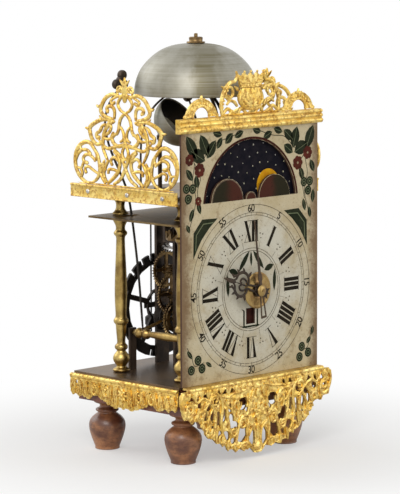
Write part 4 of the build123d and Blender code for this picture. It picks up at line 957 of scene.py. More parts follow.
# %% Rings and marks
paint_node(DIAL_GROUND, "dial_plate")
bm = bmesh.new()
for radius, width in ((78.6, 0.45), (71.4, 0.4), (68.9, 0.4), (38.4, 0.45), (36, 0.5)):
    inner, outer, high = radius - width / 2, radius + width / 2, MID + 0.05
    spun(bm, ((inner, MID), (outer, MID), (outer, high), (inner, high), (inner, MID)), 96, DIAL.axis())
for minute in range(60):
    ends = (68.9, 71.4) if minute % 5 else (67.9, 72.4)
    patch(bm, ribbon([clockwise(minute * 6, 0, v) for v in ends], 0.35), MID)
for degrees in range(15, 360, 30):
    for u, v in ((-1.9, 52.6), (1.9, 52.4), (0.2, 48.6)):
        patch(bm, disc(*clockwise(degrees, u, v), 0.72, 12), MID)
    patch(bm, ribbon([clockwise(degrees, 0, v) for v in (39, 45.5)], 0.28), MID)
finish_piece("painted_rings", bm, THIN_BLACK, "frame")
print("dial paint lies at", round(DIAL.at(0, 0, MID).y * 1000, 2))

# %% [markdown]
# ## Numerals
#
# The hours are Roman figures that stand on the inner circle, with their feet to the middle.
# A brush makes them from bars, wedges and hair lines, so three outlines are enough for all
# of them. The minutes are small figures from Blender's own type, made a mesh first.

# %% Hour numerals
BARS = {"I": (((-1.7, 0), (1.7, 0), (1.7, 19), (-1.7, 19)),),
        "V": (((-0.4, 0), (0.6, 0), (-0.6, 19), (-4.5, 19)), ((0.3, 0), (0.6, 0), (4.3, 19), (3.8, 19))),
        "X": (((1.2, 0), (4.6, 0), (-1.2, 19), (-4.6, 19)), ((-4.2, 0), (-3.8, 0), (4.2, 19), (3.8, 19)))}
ADVANCE = {"I": 4.4, "V": 8.6, "X": 9.4}
HOURS = ("XII", "I", "II", "III", "IIII", "V", "VI", "VII", "VIII", "IX", "X", "XI")
NUMERAL_FOOT = 44.6

bm = bmesh.new()
for hour, numeral in enumerate(HOURS):
    half = sum(ADVANCE[letter] for letter in numeral) / 2
    bars = [((-half - 0.4, low), (half + 0.4, low), (half + 0.4, high), (-half - 0.4, high))
            for low, high in ((19, 19.5), (-0.4, 0))]
    cursor = -half
    for letter in numeral:
        middle = cursor + ADVANCE[letter] / 2
        bars += [[(middle + u, v) for u, v in bar] for bar in BARS[letter]]
        cursor += ADVANCE[letter]
    for i, bar in enumerate(bars):
        patch(bm, [clockwise(hour * 30, u, NUMERAL_FOOT + v) for u, v in bar], MID + STACK * i)
finish_piece("hour_numerals", bm, BLACK_PAINT, "frame")
print("hours", len(HOURS))

# %% Minute figures
type_curve = bpy.data.curves.new("minute_type", "FONT")
type_curve.size = 10 * MM
type_curve.space_character = 0.9
type_curve.extrude = 0.03 * MM
type_curve.offset = 0.1 * MM
type_curve.resolution_u = 3
type_curve.align_x = type_curve.align_y = "CENTER"
type_body = new_object("minute_type", type_curve)
FIGURE_RADIUS = 75.1
bm = bmesh.new()
for minute in range(5, 65, 5):
    type_curve.body = str(minute)
    bpy.context.view_layer.update()
    figure = bpy.data.meshes.new_from_object(type_body)
    degrees = minute * 6
    turn = Matrix.Rotation((pi if 90 < degrees < 270 else 0) - radians(degrees), 4, "Z")
    figure.transform(DIAL.matrix(*clockwise(degrees, 0, FIGURE_RADIUS), MID + 0.03) @ turn)
    bm.from_mesh(figure)
    bpy.data.meshes.remove(figure)
bpy.data.objects.remove(type_body)
finish_piece("minute_figures", bm, BLACK_PAINT, "frame")
print("last figure", minute)

# %% [markdown]
# ## Painted ornament
#
# Dark green kites fill the corners over the hour ring, a star of leaves stands behind the
# hands, and red flowers, roundels and leaves run up beside the moon's window. Each colour
# is one piece, so each gets its own paint. Most of it is measured from the dial's foot.

# %% Kites, star and window line
KITE = ((-44, 69.7), (-55, 61.5), (-64.5, 52), (-71, 42.5), (-75.6, 34.5), (-75.2, 58.5), (-64, 70.2))
STAR_LEAVES = (
    ((-2.4, 36), (-16.6, 17.8), 5.2), ((-0.4, 35.6), (0, 21.5), 3.2), ((-17.5, 16.5), (-29.6, 20.4), 6),
    ((-31.4, 16.5), (-30.6, -4.4), 4.4))
WINDOW_LINE = (
    ((-10.8, -19), (-8.9, -19), (-8.9, -33.4), (-10.8, -33.4)),
    ((7, -19), (8.9, -19), (8.9, -33.4), (7, -33.4)),
    ((-12.6, -33.4), (10.7, -33.4), (9.6, -35), (-11.4, -35)), ((-13.4, -17), (-8.9, -19), (-10.8, -19.4)),
    ((11.5, -17), (7, -19), (8.9, -19.4)))
bm = bmesh.new()
patch(bm, KITE, mirror=True)
for start, end, width in STAR_LEAVES:
    patch(bm, blade(start, end, width), MID, mirror=start[0] < -1)
for outline in WINDOW_LINE:
    patch(bm, outline, OVER)
finish_piece("painted_green", bm, GREEN_PAINT, "frame")
print("star of", len(STAR_LEAVES), "kinds of leaf")

# %% Leaves, stems and roundels
LEAVES = (
    ((-84, 228), (-70, 206), 9), ((-78, 214), (-60, 204), 10), ((-66, 228), (-56, 208), 9),
    ((-58, 206), (-46, 222), 8), ((-50, 229), (-38, 226), 5), ((-45, 214), (-38, 224), 5),
    ((-34, 218), (-24, 227), 6), ((-22, 223), (-10, 228), 5), ((-84, 198), (-76, 187), 6),
    ((-72, 192), (-70, 180), 6), ((-84, 166), (-77, 174), 5), ((-70, 168), (-66, 156), 5),
    ((-80, 150), (-75, 162), 5), ((-84, 148), (-80, 140), 4), ((84, 228), (74, 206), 9),
    ((76, 212), (58, 204), 10), ((62, 228), (56, 208), 9), ((56, 204), (44, 212), 7),
    ((44, 226), (56, 216), 7), ((30, 228), (42, 224), 5), ((16, 220), (28, 225), 5.5),
    ((2, 229), (13, 226), 5), ((66, 190), (70, 177), 6), ((80, 196), (85, 184), 6),
    ((84, 168), (83, 155), 5), ((70, 160), (73, 148), 4.5), ((78, 152), (80, 141), 4.5),
    ((-84, 33), (-77, 25), 4), ((-60, 20), (-52, 15), 3.4), ((75, 22), (81, 28), 4), ((84, 38), (82, 29), 4))
STEMS = (
    ((-80, 212), (-74, 202), (-76, 186), (-72, 170), (-77, 152), (-82, 141)),
    ((-74, 203), (-66, 190), (-70, 176), (-66, 160)),
    ((-62, 206), (-54, 214), (-44, 220), (-30, 223), (-14, 227)),
    ((80, 212), (73, 200), (76, 184), (72, 168), (76, 152), (80, 142)),
    ((73, 203), (64, 192), (68, 178), (72, 160)),
    ((62, 206), (54, 212), (44, 220), (28, 222), (12, 227)),
    ((-84, 36), (-78, 26), (-74, 18), (-62, 20)),
    ((84, 38), (79, 26), (76, 18), (66, 16)))
ROUNDELS = (
    (-84, 180.4), (-76.1, 179.8), (-81.8, 171), (71.3, 175.4), (79.2, 175.6), (76.9, 167.1), (-70, 23),
    (-64.9, 14.8), (-78.6, 14.6), (68.5, 19.6), (77.3, 13.2), (65.4, 10.1))
UPPER_LEAVES = 200
CENTRE_UP = 81
PLATE = Panel(DIAL.at(0, -CENTRE_UP))
bm = bmesh.new()
for start, end, width in LEAVES:
    patch(bm, blade(start, end, (1.35 if start[1] > UPPER_LEAVES else 1.15) * width), panel=PLATE)
for stem in STEMS:
    patch(bm, ribbon(bend(*stem, steps=5), 0.7), panel=PLATE)
for u, v in ROUNDELS:
    patch(bm, disc(u, v, 4.5, 18), MID, panel=PLATE)
finish_piece("painted_leaves", bm, GREEN_PAINT, "frame")
print("leaves", len(LEAVES), "roundels", len(ROUNDELS))

# %% Pale lines and dots on the green
INNER_KITE = ((-49.6, 66.2), (-62.6, 65.8), (-71.6, 56.4), (-72.6, 42))
bm = bmesh.new()
patch(bm, ribbon(INNER_KITE, 0.9), MID, mirror=True)
for u, v in ROUNDELS:
    patch(bm, ribbon(arc(u, v, 2.7, 0, 350, 18), 0.5), OVER + 0.02, panel=PLATE)
    patch(bm, disc(u, v, 0.75, 9), OVER + 0.02, panel=PLATE)
for start, end, width in LEAVES:
    patch(bm, ribbon((start, end), 0.4), MID, panel=PLATE)
finish_piece("painted_pale_lines", bm, LEAF_GREEN, "frame")
print("veins", len(LEAVES))

# %% Red flowers
FLOWERS = ((-67.2, 196.1, 6.6), (-80, 206, 5.4), (-69, 168.2, 4.2), (62.7, 193.9, 6.6), (76.2, 202.6, 6.2))
bm = bmesh.new()
for u, v, radius in FLOWERS:
    for petal in range(7):
        spot = around(u, v, radius * 0.62, 360 * petal / 7)
        patch(bm, disc(*spot, radius * 0.42, 9), MID + STACK * petal, panel=PLATE)
    patch(bm, arc(u, v, radius * 0.66, 0, 340, 12), MID + 0.04, panel=PLATE)
finish_piece("painted_flowers", bm, RED_PAINT, "frame")

bm = bmesh.new()
for u, v, radius in FLOWERS:
    patch(bm, disc(u, v, radius * 0.17, 9), OVER + 0.04, panel=PLATE)
finish_piece("flower_hearts", bm, WHITE_PAINT, "frame")
print("flowers", len(FLOWERS))

# %% The moon's window and hills
MOON_V = 159.3
SILL_V = 165
bm = bmesh.new()
patch(bm, ribbon(arc(0, MOON_V, 61.9, 5.4, 174.6, 60), 2.2), OVER, panel=PLATE)
finish_piece("moon_window_edge", bm, EDGE_BROWN, "frame")

bm = bmesh.new()
for x, radius in ((-31, 20.5), (31, 20.5), (0, 6.5)):
    patch(bm, arc(x, SILL_V, radius - 0.2, 0, 180, 28), MID, panel=PLATE)
finish_piece("moon_hills", bm, HILL_PAINT, "frame")
bm = bmesh.new()
patch(bm, ribbon(arc(-31, SILL_V, 19.6, 0, 180, 28), 0.5), OVER, panel=PLATE)
patch(bm, ribbon(arc(0, SILL_V, 5.7, 0, 180, 12), 0.35), OVER, panel=PLATE)
finish_piece("moon_hill_lines", bm, MOON_LINE, "frame")
print("moon's window from", SILL_V, "mm up")

# %% [markdown]
# ## Hands
#
# The minute hand is a thin iron pointer. The hour hand is sawn and filed from brass that has
# gone nearly black, with an open leafy head, a short tail and a round hub. Behind it lies the
# alarm's setting disc, and a small domed collet holds everything on the arbor.

# %% Hour hand
HAND_SCROLLS = (
    (((2.6, 3), (2.2, 10), (1.5, 16)), (3, 2.4, 2)),
    (((1, 15), (6, 16.5), (10, 20), (11, 26), (7.6, 31.4), (3, 33), (0.6, 37)), (1.8, 3, 3.6, 3.8, 3, 2.2)),
    (((1, 16), (4.6, 20), (5.4, 24.6), (2.4, 27), (1, 24.4)), (1.6, 2.6, 2.6, 2)),
    (((7.6, 31), (5, 36), (6.4, 40)), (2.6, 3, 1.2)),
    (((2, -3), (3.4, -8), (1, -11.6)), (3, 3, 2)))
HAND_LEAVES = (
    ((8, 18), (14, 15.4), 4), ((10, 24), (15, 27), 4), ((8.4, 30), (12, 34.6), 3.4),
    ((1, -9), (5, -13), 3.4), ((0, 32), (0, 49.6), 5.6), ((0, 15), (0, 33), 2.2), ((0, -6), (0, -14), 4),
    ((3, 36), (6.6, 38), 2.4))
HOUR_HAND_DEGREES = 161
paint_node(HAND_IRON, "minute_hand")
hour_low, hour_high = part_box("hour_hand")
turn = radians(HOUR_HAND_DEGREES)
HAND = Panel((0, (hour_low.y + hour_high.y) / 2, CENTRE.z),
             (sin(turn), 0, -cos(turn)), (cos(turn), 0, sin(turn)))
bm = bmesh.new()
scrolls(bm, HAND, HAND_SCROLLS, 4, 1.0, 1.5)
leaves(bm, HAND, HAND_LEAVES, thick=1.4, lift=0.1)
spun(bm, ((3.42, -0.5), (6, -0.5), (6, 0.2), (5.2, 0.7), (3.42, 0.8), (3.42, -0.5)), 24, HAND.axis())
finish_piece("hour_hand_openwork", bm, HAND_BRASS, "hour", ["hour_hand"], subdivide=1)
print("hour hand at", round(HAND.origin.y * 1000, 1))

# %% Alarm disc and collet
alarm_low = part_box("alarm_disc")[0]
ALARM = Panel((0, alarm_low.y + MM, CENTRE.z))
COLLET = Panel((0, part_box("minute_hand")[0].y, CENTRE.z))
ALARM_RIM = ((3.95, 0), (16.6, 0), (17, 0.2), (17, 1.05), (16.4, 1.35), (15.2, 1.35), (14.6, 1.0), (8.6, 1.0),
             (8, 1.3), (7.2, 1.3), (6.6, 1.0), (3.95, 1.0), (3.95, 0))
bm = bmesh.new()
spun(bm, ALARM_RIM, 48, ALARM.axis())
spun(bm, ((3.95, -8), (5.4, -8), (5.4, 0.4), (3.95, 0.4), (3.95, -8)), 24, ALARM.axis())
for degrees in range(0, 360, 30):
    patch(bm, blade(clockwise(degrees, 0, 9.4), clockwise(degrees, 0, 14), 1.8), 0.98, 0.16, ALARM)
finish_piece("alarm_disc_turned", bm, ALARM_BRASS, "alarm", ["alarm_disc"], bevel=0.00008)

bm = bmesh.new()
spun(bm, ((1.25, 0), (5.2, 0), (5.5, 0.4), (5, 1.2), (3.4, 2), (1.6, 2.4), (1.25, 2.4), (1.25, 0)), 28,
     COLLET.axis())
finish_piece("hand_collet", bm, ALARM_BRASS, "minute", subdivide=1)
print("hands fitted, disc from", round(alarm_low.y * 1000, 1))

# %% Behind the window
# The small window in the middle shows dark. A dark sheet behind it is painted shade for the
# dark inside, where the calendar would turn.
bm = bmesh.new()
patch(bm, ((-8, -9.4), (8, -9.4), (8, 9.4), (-8, 9.4)), 0, 0.4, Panel(from_dial(-1, 3.4, 56.5)))
finish_piece("window_shade_sheet", bm, EDGE_BROWN, "frame")
print("window backed")

# %% [markdown]
# ## The moon's disc
#
# The disc turns behind the window. It carries a night sky with small stars and two moons, so
# that one rises when the other sets. The stars and moons ride on the disc's body, not on the
# dial.

# %% Moon disc
STARS = 110
GOLDEN = 137.5
paint_node(NIGHT_PAINT, "moon_disc")
moon_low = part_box("moon_disc")[0]
SKY = Panel((0, moon_low.y, joint_at["moon_spin"].z))
bm = bmesh.new()
for i in range(STARS):
    u, v = around(0, 0, 12 + 50 * (i / STARS) ** 0.6, i * GOLDEN)
    size = (1.15, 0.8, 0.95)[i % 3]
    star = [around(u, v, size * (0.42 if k % 2 else 1), 36 * k) for k in range(10)]
    patch(bm, star, UNDER, 0.04, SKY)
finish_piece("painted_stars", bm, STAR_PAINT, "moon")
bm = bmesh.new()
for u, v in ((26.4, 16.6), (-26.4, -16.6)):
    patch(bm, disc(u, v, 15, 36), MID, 0.05, SKY)
finish_piece("painted_moons", bm, MOON_PAINT, "moon")
print("sky at", round(moon_low.y * 1000, 1))

# %% [markdown]
# ## Gilt mounts: the side frets
#
# The frets stand on the gallery plate at both sides. Each is a flat casting of C and S
# scrolls, the same to the left and right of its middle. So one half is drawn as strokes
# that swell and taper, and each stroke is set down twice.

# %% Side frets
FRET_LINES = (
    (((41.5, 2.7), (50.3, 1.3), (58.4, 4.6), (65, 11.8), (67.2, 20.2), (65.8, 28.8), (61, 35.3), (53.8,
     38.9), (47.1, 38.5), (42.4, 34.2), (38.6, 29.8), (37.6, 26), (40, 22.8)), (1.6, 3.4, 4, 3.6, 2.8,
     3.2)),
    (((47.1, 38.5), (41, 33), (36.3, 26.9), (34.4, 18.5), (34.3, 11.6), (38.3, 5.2), (44.7, 1.7)), (1.6, 3,
     3.4, 2)),
    (((40, 22.4), (46.3, 27), (52, 27.4), (56.3, 24.1), (54.9, 20.3), (50.2, 19.6)), (2, 3, 2.8, 3.6)),
    (((66, 15), (60, 14), (57.5, 9.5), (60, 6)), (1.2, 3, 2.4)),
    (((35, 10), (44, 14), (49, 16.4), (54, 14.5), (52, 9.5)), (2, 2.4, 2.6, 2.8)),
    (((23, 23), (29.2, 33.5), (29.5, 41.1), (27.8, 48.9), (23.7, 55.2), (18, 61.5)), (2, 3.4, 3.6, 3)),
    (((18, 60.4), (28.6, 61), (38.4, 58.2), (46.9, 53.1), (46.6, 47.8), (43.9, 41.8), (38.1, 37.5), (31,
     39)), (2.2, 3.6, 4, 3.4, 2.8)),
    (((25.5, 57), (30.4, 54.8), (33.4, 50.1), (38.2, 47.4), (37, 43.4), (33.8, 44.6)), (1.8, 3.2, 3, 3.8)),
    (((45, 53.6), (49, 51.6), (53.4, 52.4)), (3.4, 3, 1)),
    (((2, 84.6), (8, 82.8), (15.8, 84.8), (24.4, 81.8), (29.5, 76.2), (32.4, 70), (29.9, 65.5), (23.2,
     62.9), (15.5, 61.4)), (2.4, 3.2, 3.8, 3.6, 3)),
    (((14.5, 61.4), (13.7, 67.9), (15.6, 72.4), (20.5, 73.7), (24.3, 71.4), (22.4, 68.2)), (2, 3.2, 3,
     3.8)),
    (((10, 83), (15.6, 80.7), (18.8, 78.4), (16.3, 75.9), (13.6, 77.4)), (1.8, 2.6, 3)),
    (((31.5, 74), (35.4, 72.4), (37.6, 74.2)), (2.4, 2.6, 0.8)),
    (((0, 68), (5.4, 63.6), (7.6, 58.5), (8.8, 52), (12, 47.6)), (2.4, 3, 3, 2.6)),
    (((0, 68), (6, 70.5), (9.6, 76), (6.4, 81), (2, 84)), (2, 2.6, 2.8, 2)),
    (((15.4, 50.4), (18, 44.9), (14.6, 39.4), (7.8, 37.1), (0, 40)), (2, 3.4, 3.2, 2.2)),
    (((6.5, 56), (2.4, 50.4), (2.2, 44), (6.8, 41.4)), (1.8, 2.8, 2.2)),
    (((15.8, 33), (9.8, 28.1), (7.2, 20.4), (10.1, 13.3), (17.3, 6.7), (24, 2.2)), (2.2, 3.4, 3.6, 2.6)),
    (((22, 24.5), (27.6, 15.4), (28.6, 9.5), (24.6, 3)), (2.4, 3.4, 2.6)),
    (((15.4, 34.7), (7.4, 29.5), (2, 21.7), (-1.8, 14), (-7.5, 6.4), (-16, 2)), (2, 3, 3.2, 2.4)),
    (((8, 23), (12, 26), (15.6, 27), (19.4, 23.4), (17, 19)), (2, 2.6, 2.8, 2.4)),
    (((10, 14), (15, 15.6), (22, 15.4), (22.6, 11)), (2, 2.6, 2.8, 2)),
    (((11, 49), (14.4, 47.4), (17.6, 44.4)), (2.4, 2.8, 2.6)),
    (((29.6, 37.4), (23, 34.4), (14, 36.4), (6, 38.4), (0, 40)), (2.4, 3, 2.8, 2.6)),
    (((28.4, 46), (22.6, 48.6), (18.6, 53.6), (20.6, 59.6)), (2, 2.8, 2.8, 2.2)),
    (((66.8, 20), (63, 27.6), (56.6, 31.4), (50, 31.2), (45.6, 27.4)), (2, 2.8, 2.8, 2.2)),
    (((17.6, 45), (22.6, 43), (28.8, 44.4)), (2.2, 2.6, 2.2)),
    (((60, 13), (57.4, 16.6), (55.6, 21)), (2, 2.6, 2)),
    (((33.8, 12.6), (30.4, 6.6), (26, 2)), (2.2, 2.8, 2.4)),
    (((0, 40), (4.4, 31), (0, 24.6)), (2.4, 2.8, 2.4)))
FRET_LEAVES = (
    ((24.6, 14.4), (36.4, 22.4), 4.4), ((27, 24.4), (33.4, 9.6), 4), ((0, 77), (0, 101.2), 8.4),
    ((13, 60.4), (21, 57.4), 4.4), ((19.6, 57.8), (25, 51), 3), ((27, 37), (35.8, 42.6), 3.6),
    ((9.6, 86.4), (4, 91.6), 3.6), ((0, 92), (6.4, 98.6), 3.2), ((61.6, 36.4), (57, 30.4), 3),
    ((0, 36), (0, 47), 4.6), ((29, 60), (34, 64.6), 2.6))
FRET_BEADS = (
    (50.2, 19.6), (33.8, 44.6), (22.4, 68.2), (13.6, 77.4), (40, 22.6), (0, 68), (0, 84.6), (0, 40))


def both_sides(node, back, up):
    """A working plane on the middle of each side's mount, facing outwards."""
    sides = []
    for side, sign in (("left", -1), ("right", 1)):
        low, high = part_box(node + side)
        spot = from_dial(0, back, up)
        spot.x = (low.x + high.x) / 2
        sides.append((side, Panel(spot, (0, sign, 0))))
    return sides


for side, panel in both_sides("side_fret_", 69, 177.3):
    bm = bmesh.new()
    scrolls(bm, panel, FRET_LINES, 3, 1.42, 3.4)
    leaves(bm, panel, FRET_LEAVES, 1.15)
    stroke(bm, panel, volute(6.4, 88.6, 4.4, -60, 320), (2, 2.8, 2.2), 3.2)
    stroke(bm, panel, [(u, 0.9) for u in (-67, -30, 0, 30, 67)], (1.8, 1.8), 2.4, mirror=False)
    for u, v in FRET_BEADS:
        bead(bm, panel, u, v, 2.1)
    finish_piece("side_fret_cast_" + side, bm, GILDING, "frame", ["side_fret_" + side], subdivide=1)
print("frets of", len(FRET_LINES), "scrolls a half")

# %% [markdown]
# ## Strips and cornice
#
# A moulding is one profile drawn along a line. Here the profile is a face that is extruded
# in one go, which is how a planed or drawn strip is made too. The strips are held by steel
# screws with round heads.

# %% Strips and cornice
STRIP = (
    (-1.6, 0), (1.2, 0), (1.5, 0.5), (1.2, 1.2), (1.2, 9.8), (1.8, 10.6), (2.1, 11.4), (1.8, 12.3),
    (-1.6, 12.4))
CORNICE = (
    (-4, 0), (2.2, 0), (3.2, 0.9), (3.8, 2.4), (3.3, 3.9), (2.3, 4.7), (2.3, 5.1), (3.1, 5.9), (3.5, 7.1),
    (3.1, 8.2), (2.2, 8.9), (2.2, 9.3), (2.9, 10), (3.2, 11), (2.7, 12.1), (1.6, 13), (-4, 13))


def moulding(bm, panel, profile, start, end):
    """Extrudes a closed (n, v) profile along u."""
    face = bm.faces.new([bm.verts.new(panel.at(start, v, n)) for n, v in profile])
    grown = bmesh.ops.extrude_face_region(bm, geom=[face], use_keep_orig=True)["geom"]
    moved = [g for g in grown if isinstance(g, bmesh.types.BMVert)]
    bmesh.ops.translate(bm, verts=moved, vec=panel.along * (end - start) * MM)


for side, panel in both_sides("side_strip_", 72.4, 164.8):
    bm = bmesh.new()
    moulding(bm, panel, STRIP, -69.3, 69.3)
    finish_piece("side_strip_" + side + "_moulded", bm, GILDING, "frame", ["side_strip_" + side],
                 bevel=0.0002)
bm = bmesh.new()
for side, panel in both_sides("side_strip_", 0, 170.85):
    for back in (20, 66, 118):
        spun(bm, ((0, 1), (2.3, 1), (2.3, 1.5), (1.9, 2.2), (1.1, 2.6), (0, 2.7)), 14,
             panel.axis(back if side == "right" else -back))
finish_piece("strip_screw_heads", bm, STEEL, "frame", ["strip_screws"])

bm = bmesh.new()
top_rail = Panel(from_dial(0, 0, 230))
moulding(bm, top_rail, CORNICE, -93.6, 93.6)
for sign in (-1, 1):
    for v, radius in ((2.4, 2.3), (7, 2), (11, 1.8)):
        bead(bm, top_rail, 92.4 * sign, v, radius, 0.9, 2.6, mirror=False)
finish_piece("cornice_reeds", bm, GILDING, "frame", ["cornice"], bevel=0.0002)
print("mouldings drawn")

# %% [markdown]
# ## The crest
#
# Over the cornice stand a shell of nine ribs under a crown, between scrolls, and a
# round-headed arch at each corner. They are castings with a flat back. The plates are cut
# from a fine grid, because a grid can hold both a lively outline and holes, and then it is
# given relief.

# %% A cast plate from a grid
def inside(u, v, outline):
    """True if a point lies within a closed outline."""
    crossed = False
    for (u1, v1), (u2, v2) in zip(outline, outline[1:] + outline[:1]):
        if (v1 > v) != (v2 > v) and u < (u2 - u1) * (v - v1) / (v2 - v1) + u1:
            crossed = not crossed
    return crossed


def cast_plate(bm, panel, outline, holes, cell, thick, relief):
    """A plate with this outline, elliptical holes (u, v, half width, half height) and relief."""
    us, vs = zip(*outline)
    width, height = max(us) - min(us), max(vs) - min(vs)
    middle = ((max(us) + min(us)) / 2, (max(vs) + min(vs)) / 2, 0)
    part = bmesh.new()
    bmesh.ops.create_grid(part, x_segments=int(width / cell), y_segments=int(height / cell), size=0.5)
    bmesh.ops.scale(part, vec=(width, height, 1), verts=part.verts)
    bmesh.ops.translate(part, vec=middle, verts=part.verts)
    waste = []
    for face in part.faces:
        spot = face.calc_center_median()
        in_hole = any(hypot((spot.x - u) / a, (spot.y - v) / b) < 1 for u, v, a, b in holes)
        if in_hole or not inside(spot.x, spot.y, outline):
            waste.append(face)
    bmesh.ops.delete(part, geom=waste, context="FACES")
    for _ in range(3):
        rim = [v for v in part.verts if v.is_boundary]
        bmesh.ops.smooth_vert(part, verts=rim, factor=0.5, use_axis_x=True, use_axis_y=True)
    grown = bmesh.ops.extrude_face_region(part, geom=list(part.faces), use_keep_orig=True)["geom"]
    for vert in [g for g in grown if isinstance(g, bmesh.types.BMVert)]:
        edge = any(e.is_boundary for e in vert.link_edges)
        vert.co.z = thick if edge else thick + relief(vert.co.x, vert.co.y)
    bmesh.ops.transform(part, verts=part.verts, matrix=panel.matrix() @ Matrix.Scale(MM, 4))
    join(bm, part)


def whole(half):
    """A full outline from its right half."""
    return [*half, *((-u, v) for u, v in half[::-1])]


print("a square has its middle inside:", inside(0, 0, [(-1, -1), (1, -1), (1, 1), (-1, 1)]))

# %% Crest
CROWN = (
    (-13.5, 24), (13.5, 24), (15.5, 30), (19.5, 39.6), (13, 35.4), (8.4, 38.6), (4.4, 35), (0, 38.4),
    (-4.4, 35), (-8.4, 38.6), (-13, 35.4), (-19.5, 39.6), (-15.5, 30))
CREST_SCROLLS = (
    (((37, 1), (38, 9), (36.6, 17), (32, 25), (26, 30), (20, 30.5)), (3.2, 4.4, 4.8, 4.4, 3)),
    (((20, 30.5), (17.4, 36), (18.6, 40)), (3, 2.6, 1.4)),
    (((36, 2), (30, 6.4), (24.6, 3.4), (18, 1)), (2.4, 3.6, 3, 2)),
    (((31, 10), (27, 13.5), (21, 12), (17.4, 8)), (2, 3, 3.4, 2.4)),
    (((16.4, 1), (13, 6), (8.6, 4), (5, 0.6)), (2.2, 3.4, 3.2, 2)))
CROWN_BANDS = (
    (((-13.6, 25.6), (0, 25), (13.6, 25.6)), (2.2, 2.6, 2.2)),
    (((-14.6, 29.6), (0, 28.6), (14.6, 29.6)), (1.4, 1.8, 1.4)),
    (((0, 4.4), (7, 5.2), (13.4, 10), (14.8, 16), (12, 22)), (1.8, 2.6, 2.8, 2.2)))
CREST_LEAVES = (((33.4, 24), (38.4, 27.4), 3), ((16, 22), (21.4, 26.6), 3.6), ((24, 5), (29, 1), 3))
SHIELD_V = 15.5
CREST_BACK, CREST_UP = 2.2, 243
CREST = Panel(from_dial(0, CREST_BACK, CREST_UP))
SHIELD = [(u, SHIELD_V + (v - SHIELD_V) * 0.72) for u, v in disc(0, SHIELD_V, 16.5, 36)]
bm = bmesh.new()
cast_plate(bm, CREST, SHIELD, (), 1.2, 1.6,
           lambda u, v: 2.0 * max(0, 1 - hypot(u / 16.5, (v - SHIELD_V) / 12)) ** 0.5)
cast_plate(bm, CREST, CROWN, (), 1.1, 1.8, lambda u, v: 0.5 + 0.45 * cos(u * 0.9))
scrolls(bm, CREST, CREST_SCROLLS, 4, 1.0, 3.0, 1.2)
scrolls(bm, CREST, CROWN_BANDS, 4, 1.0, 3.0, 2.2)
stroke(bm, CREST, volute(27, 20.5, 5.6, -90, 420, 0.45, 1.15), (2.4, 3, 3), 2.8, 1.2)
for k in range(5):
    a = radians(90 - 24 * k)
    leaf(bm, CREST, (2 * cos(a), 8 + 2 * sin(a)), (11.4 * cos(a), 9 + 11.6 * sin(a)), 3.4, 0, 2.6, 2.8)
leaves(bm, CREST, CREST_LEAVES, lift=1.8)
for i in range(7):
    bead(bm, CREST, 37.6 - 0.55 * i ** 1.5, 8 + 3 * i, 1.15, 0.8, 3)
for u in (0, 4.4, 8.4, 13, 19):
    bead(bm, CREST, u, 39 if u in (0, 8.4, 19) else 34.6, 1.3, 0.9, 2)
stroke(bm, CREST, [(u, 1) for u in (-38, -20, 0, 20, 38)], (2, 2), 2.4, 1, mirror=False)
finish_piece("crest_cartouche", bm, GILDING, "frame", ["crest_centre"])
print("crest cast at", [round(v, 3) for v in CREST.origin])

# %% Arches
bm = bmesh.new()
for x in (-64, 64):
    arch = Panel(from_dial(x, CREST_BACK, CREST_UP))
    cast_plate(bm, arch, arc(0, -4, 21.6, 11, 169, 30), ((0, 0, 9.6, 9.6),), 1.2, 1.4,
               lambda u, v: 0.5 * sin(u * 1.5) * sin(v * 1.5) + 0.3)
    stroke(bm, arch, arc(0, -4, 20.6, 11.6, 168.4, 20), (2, 2), 2.6, 1.2, mirror=False)
    stroke(bm, arch, arc(0, 0, 10.2, 0, 180, 16), (1.6, 1.6), 2.4, 1.2, mirror=False)
    for u, v in arc(0, -2.4, 15.6, 16, 164, 12):
        bead(bm, arch, u, v, 1.25, 0.8, 1.9, mirror=False)
    leaf(bm, arch, (0, 14), (0, 20.4), 3.8, lift=1.6, mirror=False)
    leaf(bm, arch, (0.6, 15.4), (4.4, 17.6), 2.4, lift=1.8)
    bead(bm, arch, 20.4, 1.6, 2.2, 0.8, 1.2)
finish_piece("crest_arches_cast", bm, GILDING, "frame", ["crest_arches"])
print("arches cast")

# %% [markdown]
# ## The aprons
#
# Below the dial hangs the richest casting, a rocaille border with small dark piercings and a
# pendant. The side aprons are rows of lobes with three ribs each, under a thin moulding. All
# are grids with holes. Scrolls and leaves are laid over them, as a modeller lays wax over a
# plate.

# %% Front apron's outline, holes and scrolls
HALF_APRON = (
    (0, 0), (98, 0), (101.4, -3), (101.2, -12), (99, -19), (96.4, -26), (90, -27.6), (86, -31), (79, -29.6),
    (75.4, -33), (71, -36.6), (70, -43), (65, -48), (59, -48.4), (56, -53), (50, -54), (46, -57), (43, -56),
    (40.5, -62.4), (34, -61), (29, -65), (24, -63), (18, -65.4), (12, -64), (9.4, -63.5), (8.6, -66),
    (5, -68.4), (0, -69))
HOLES = (
    (81, -7.6, 3.2, 2), (67, -8, 4, 2.2), (55, -15, 2.6, 2.4), (20, -20, 4, 4.4), (42, -5.6, 8, 1.3),
    (76.4, -14.4, 2, 2.4), (44.5, -28, 1.5, 5), (52, -31, 1.4, 5.6), (60, -26.6, 1.4, 4.6),
    (68, -26, 1.3, 4), (35.4, -34.4, 2.8, 4.6), (30, -40, 3, 3), (22.6, -49, 5, 4.6), (8.2, -54.5, 2.6, 6),
    (42, -47.6, 3, 3.2), (59, -39.4, 2, 3), (50.6, -45.4, 2.6, 2.6), (91, -14, 1.6, 2), (33, -53, 2, 2),
    (14.5, -28, 2, 2.6), (65, -18.6, 2.4, 1.6), (88, -8, 2.2, 1.4), (16.6, -47, 2, 3), (36, -22, 2, 3))
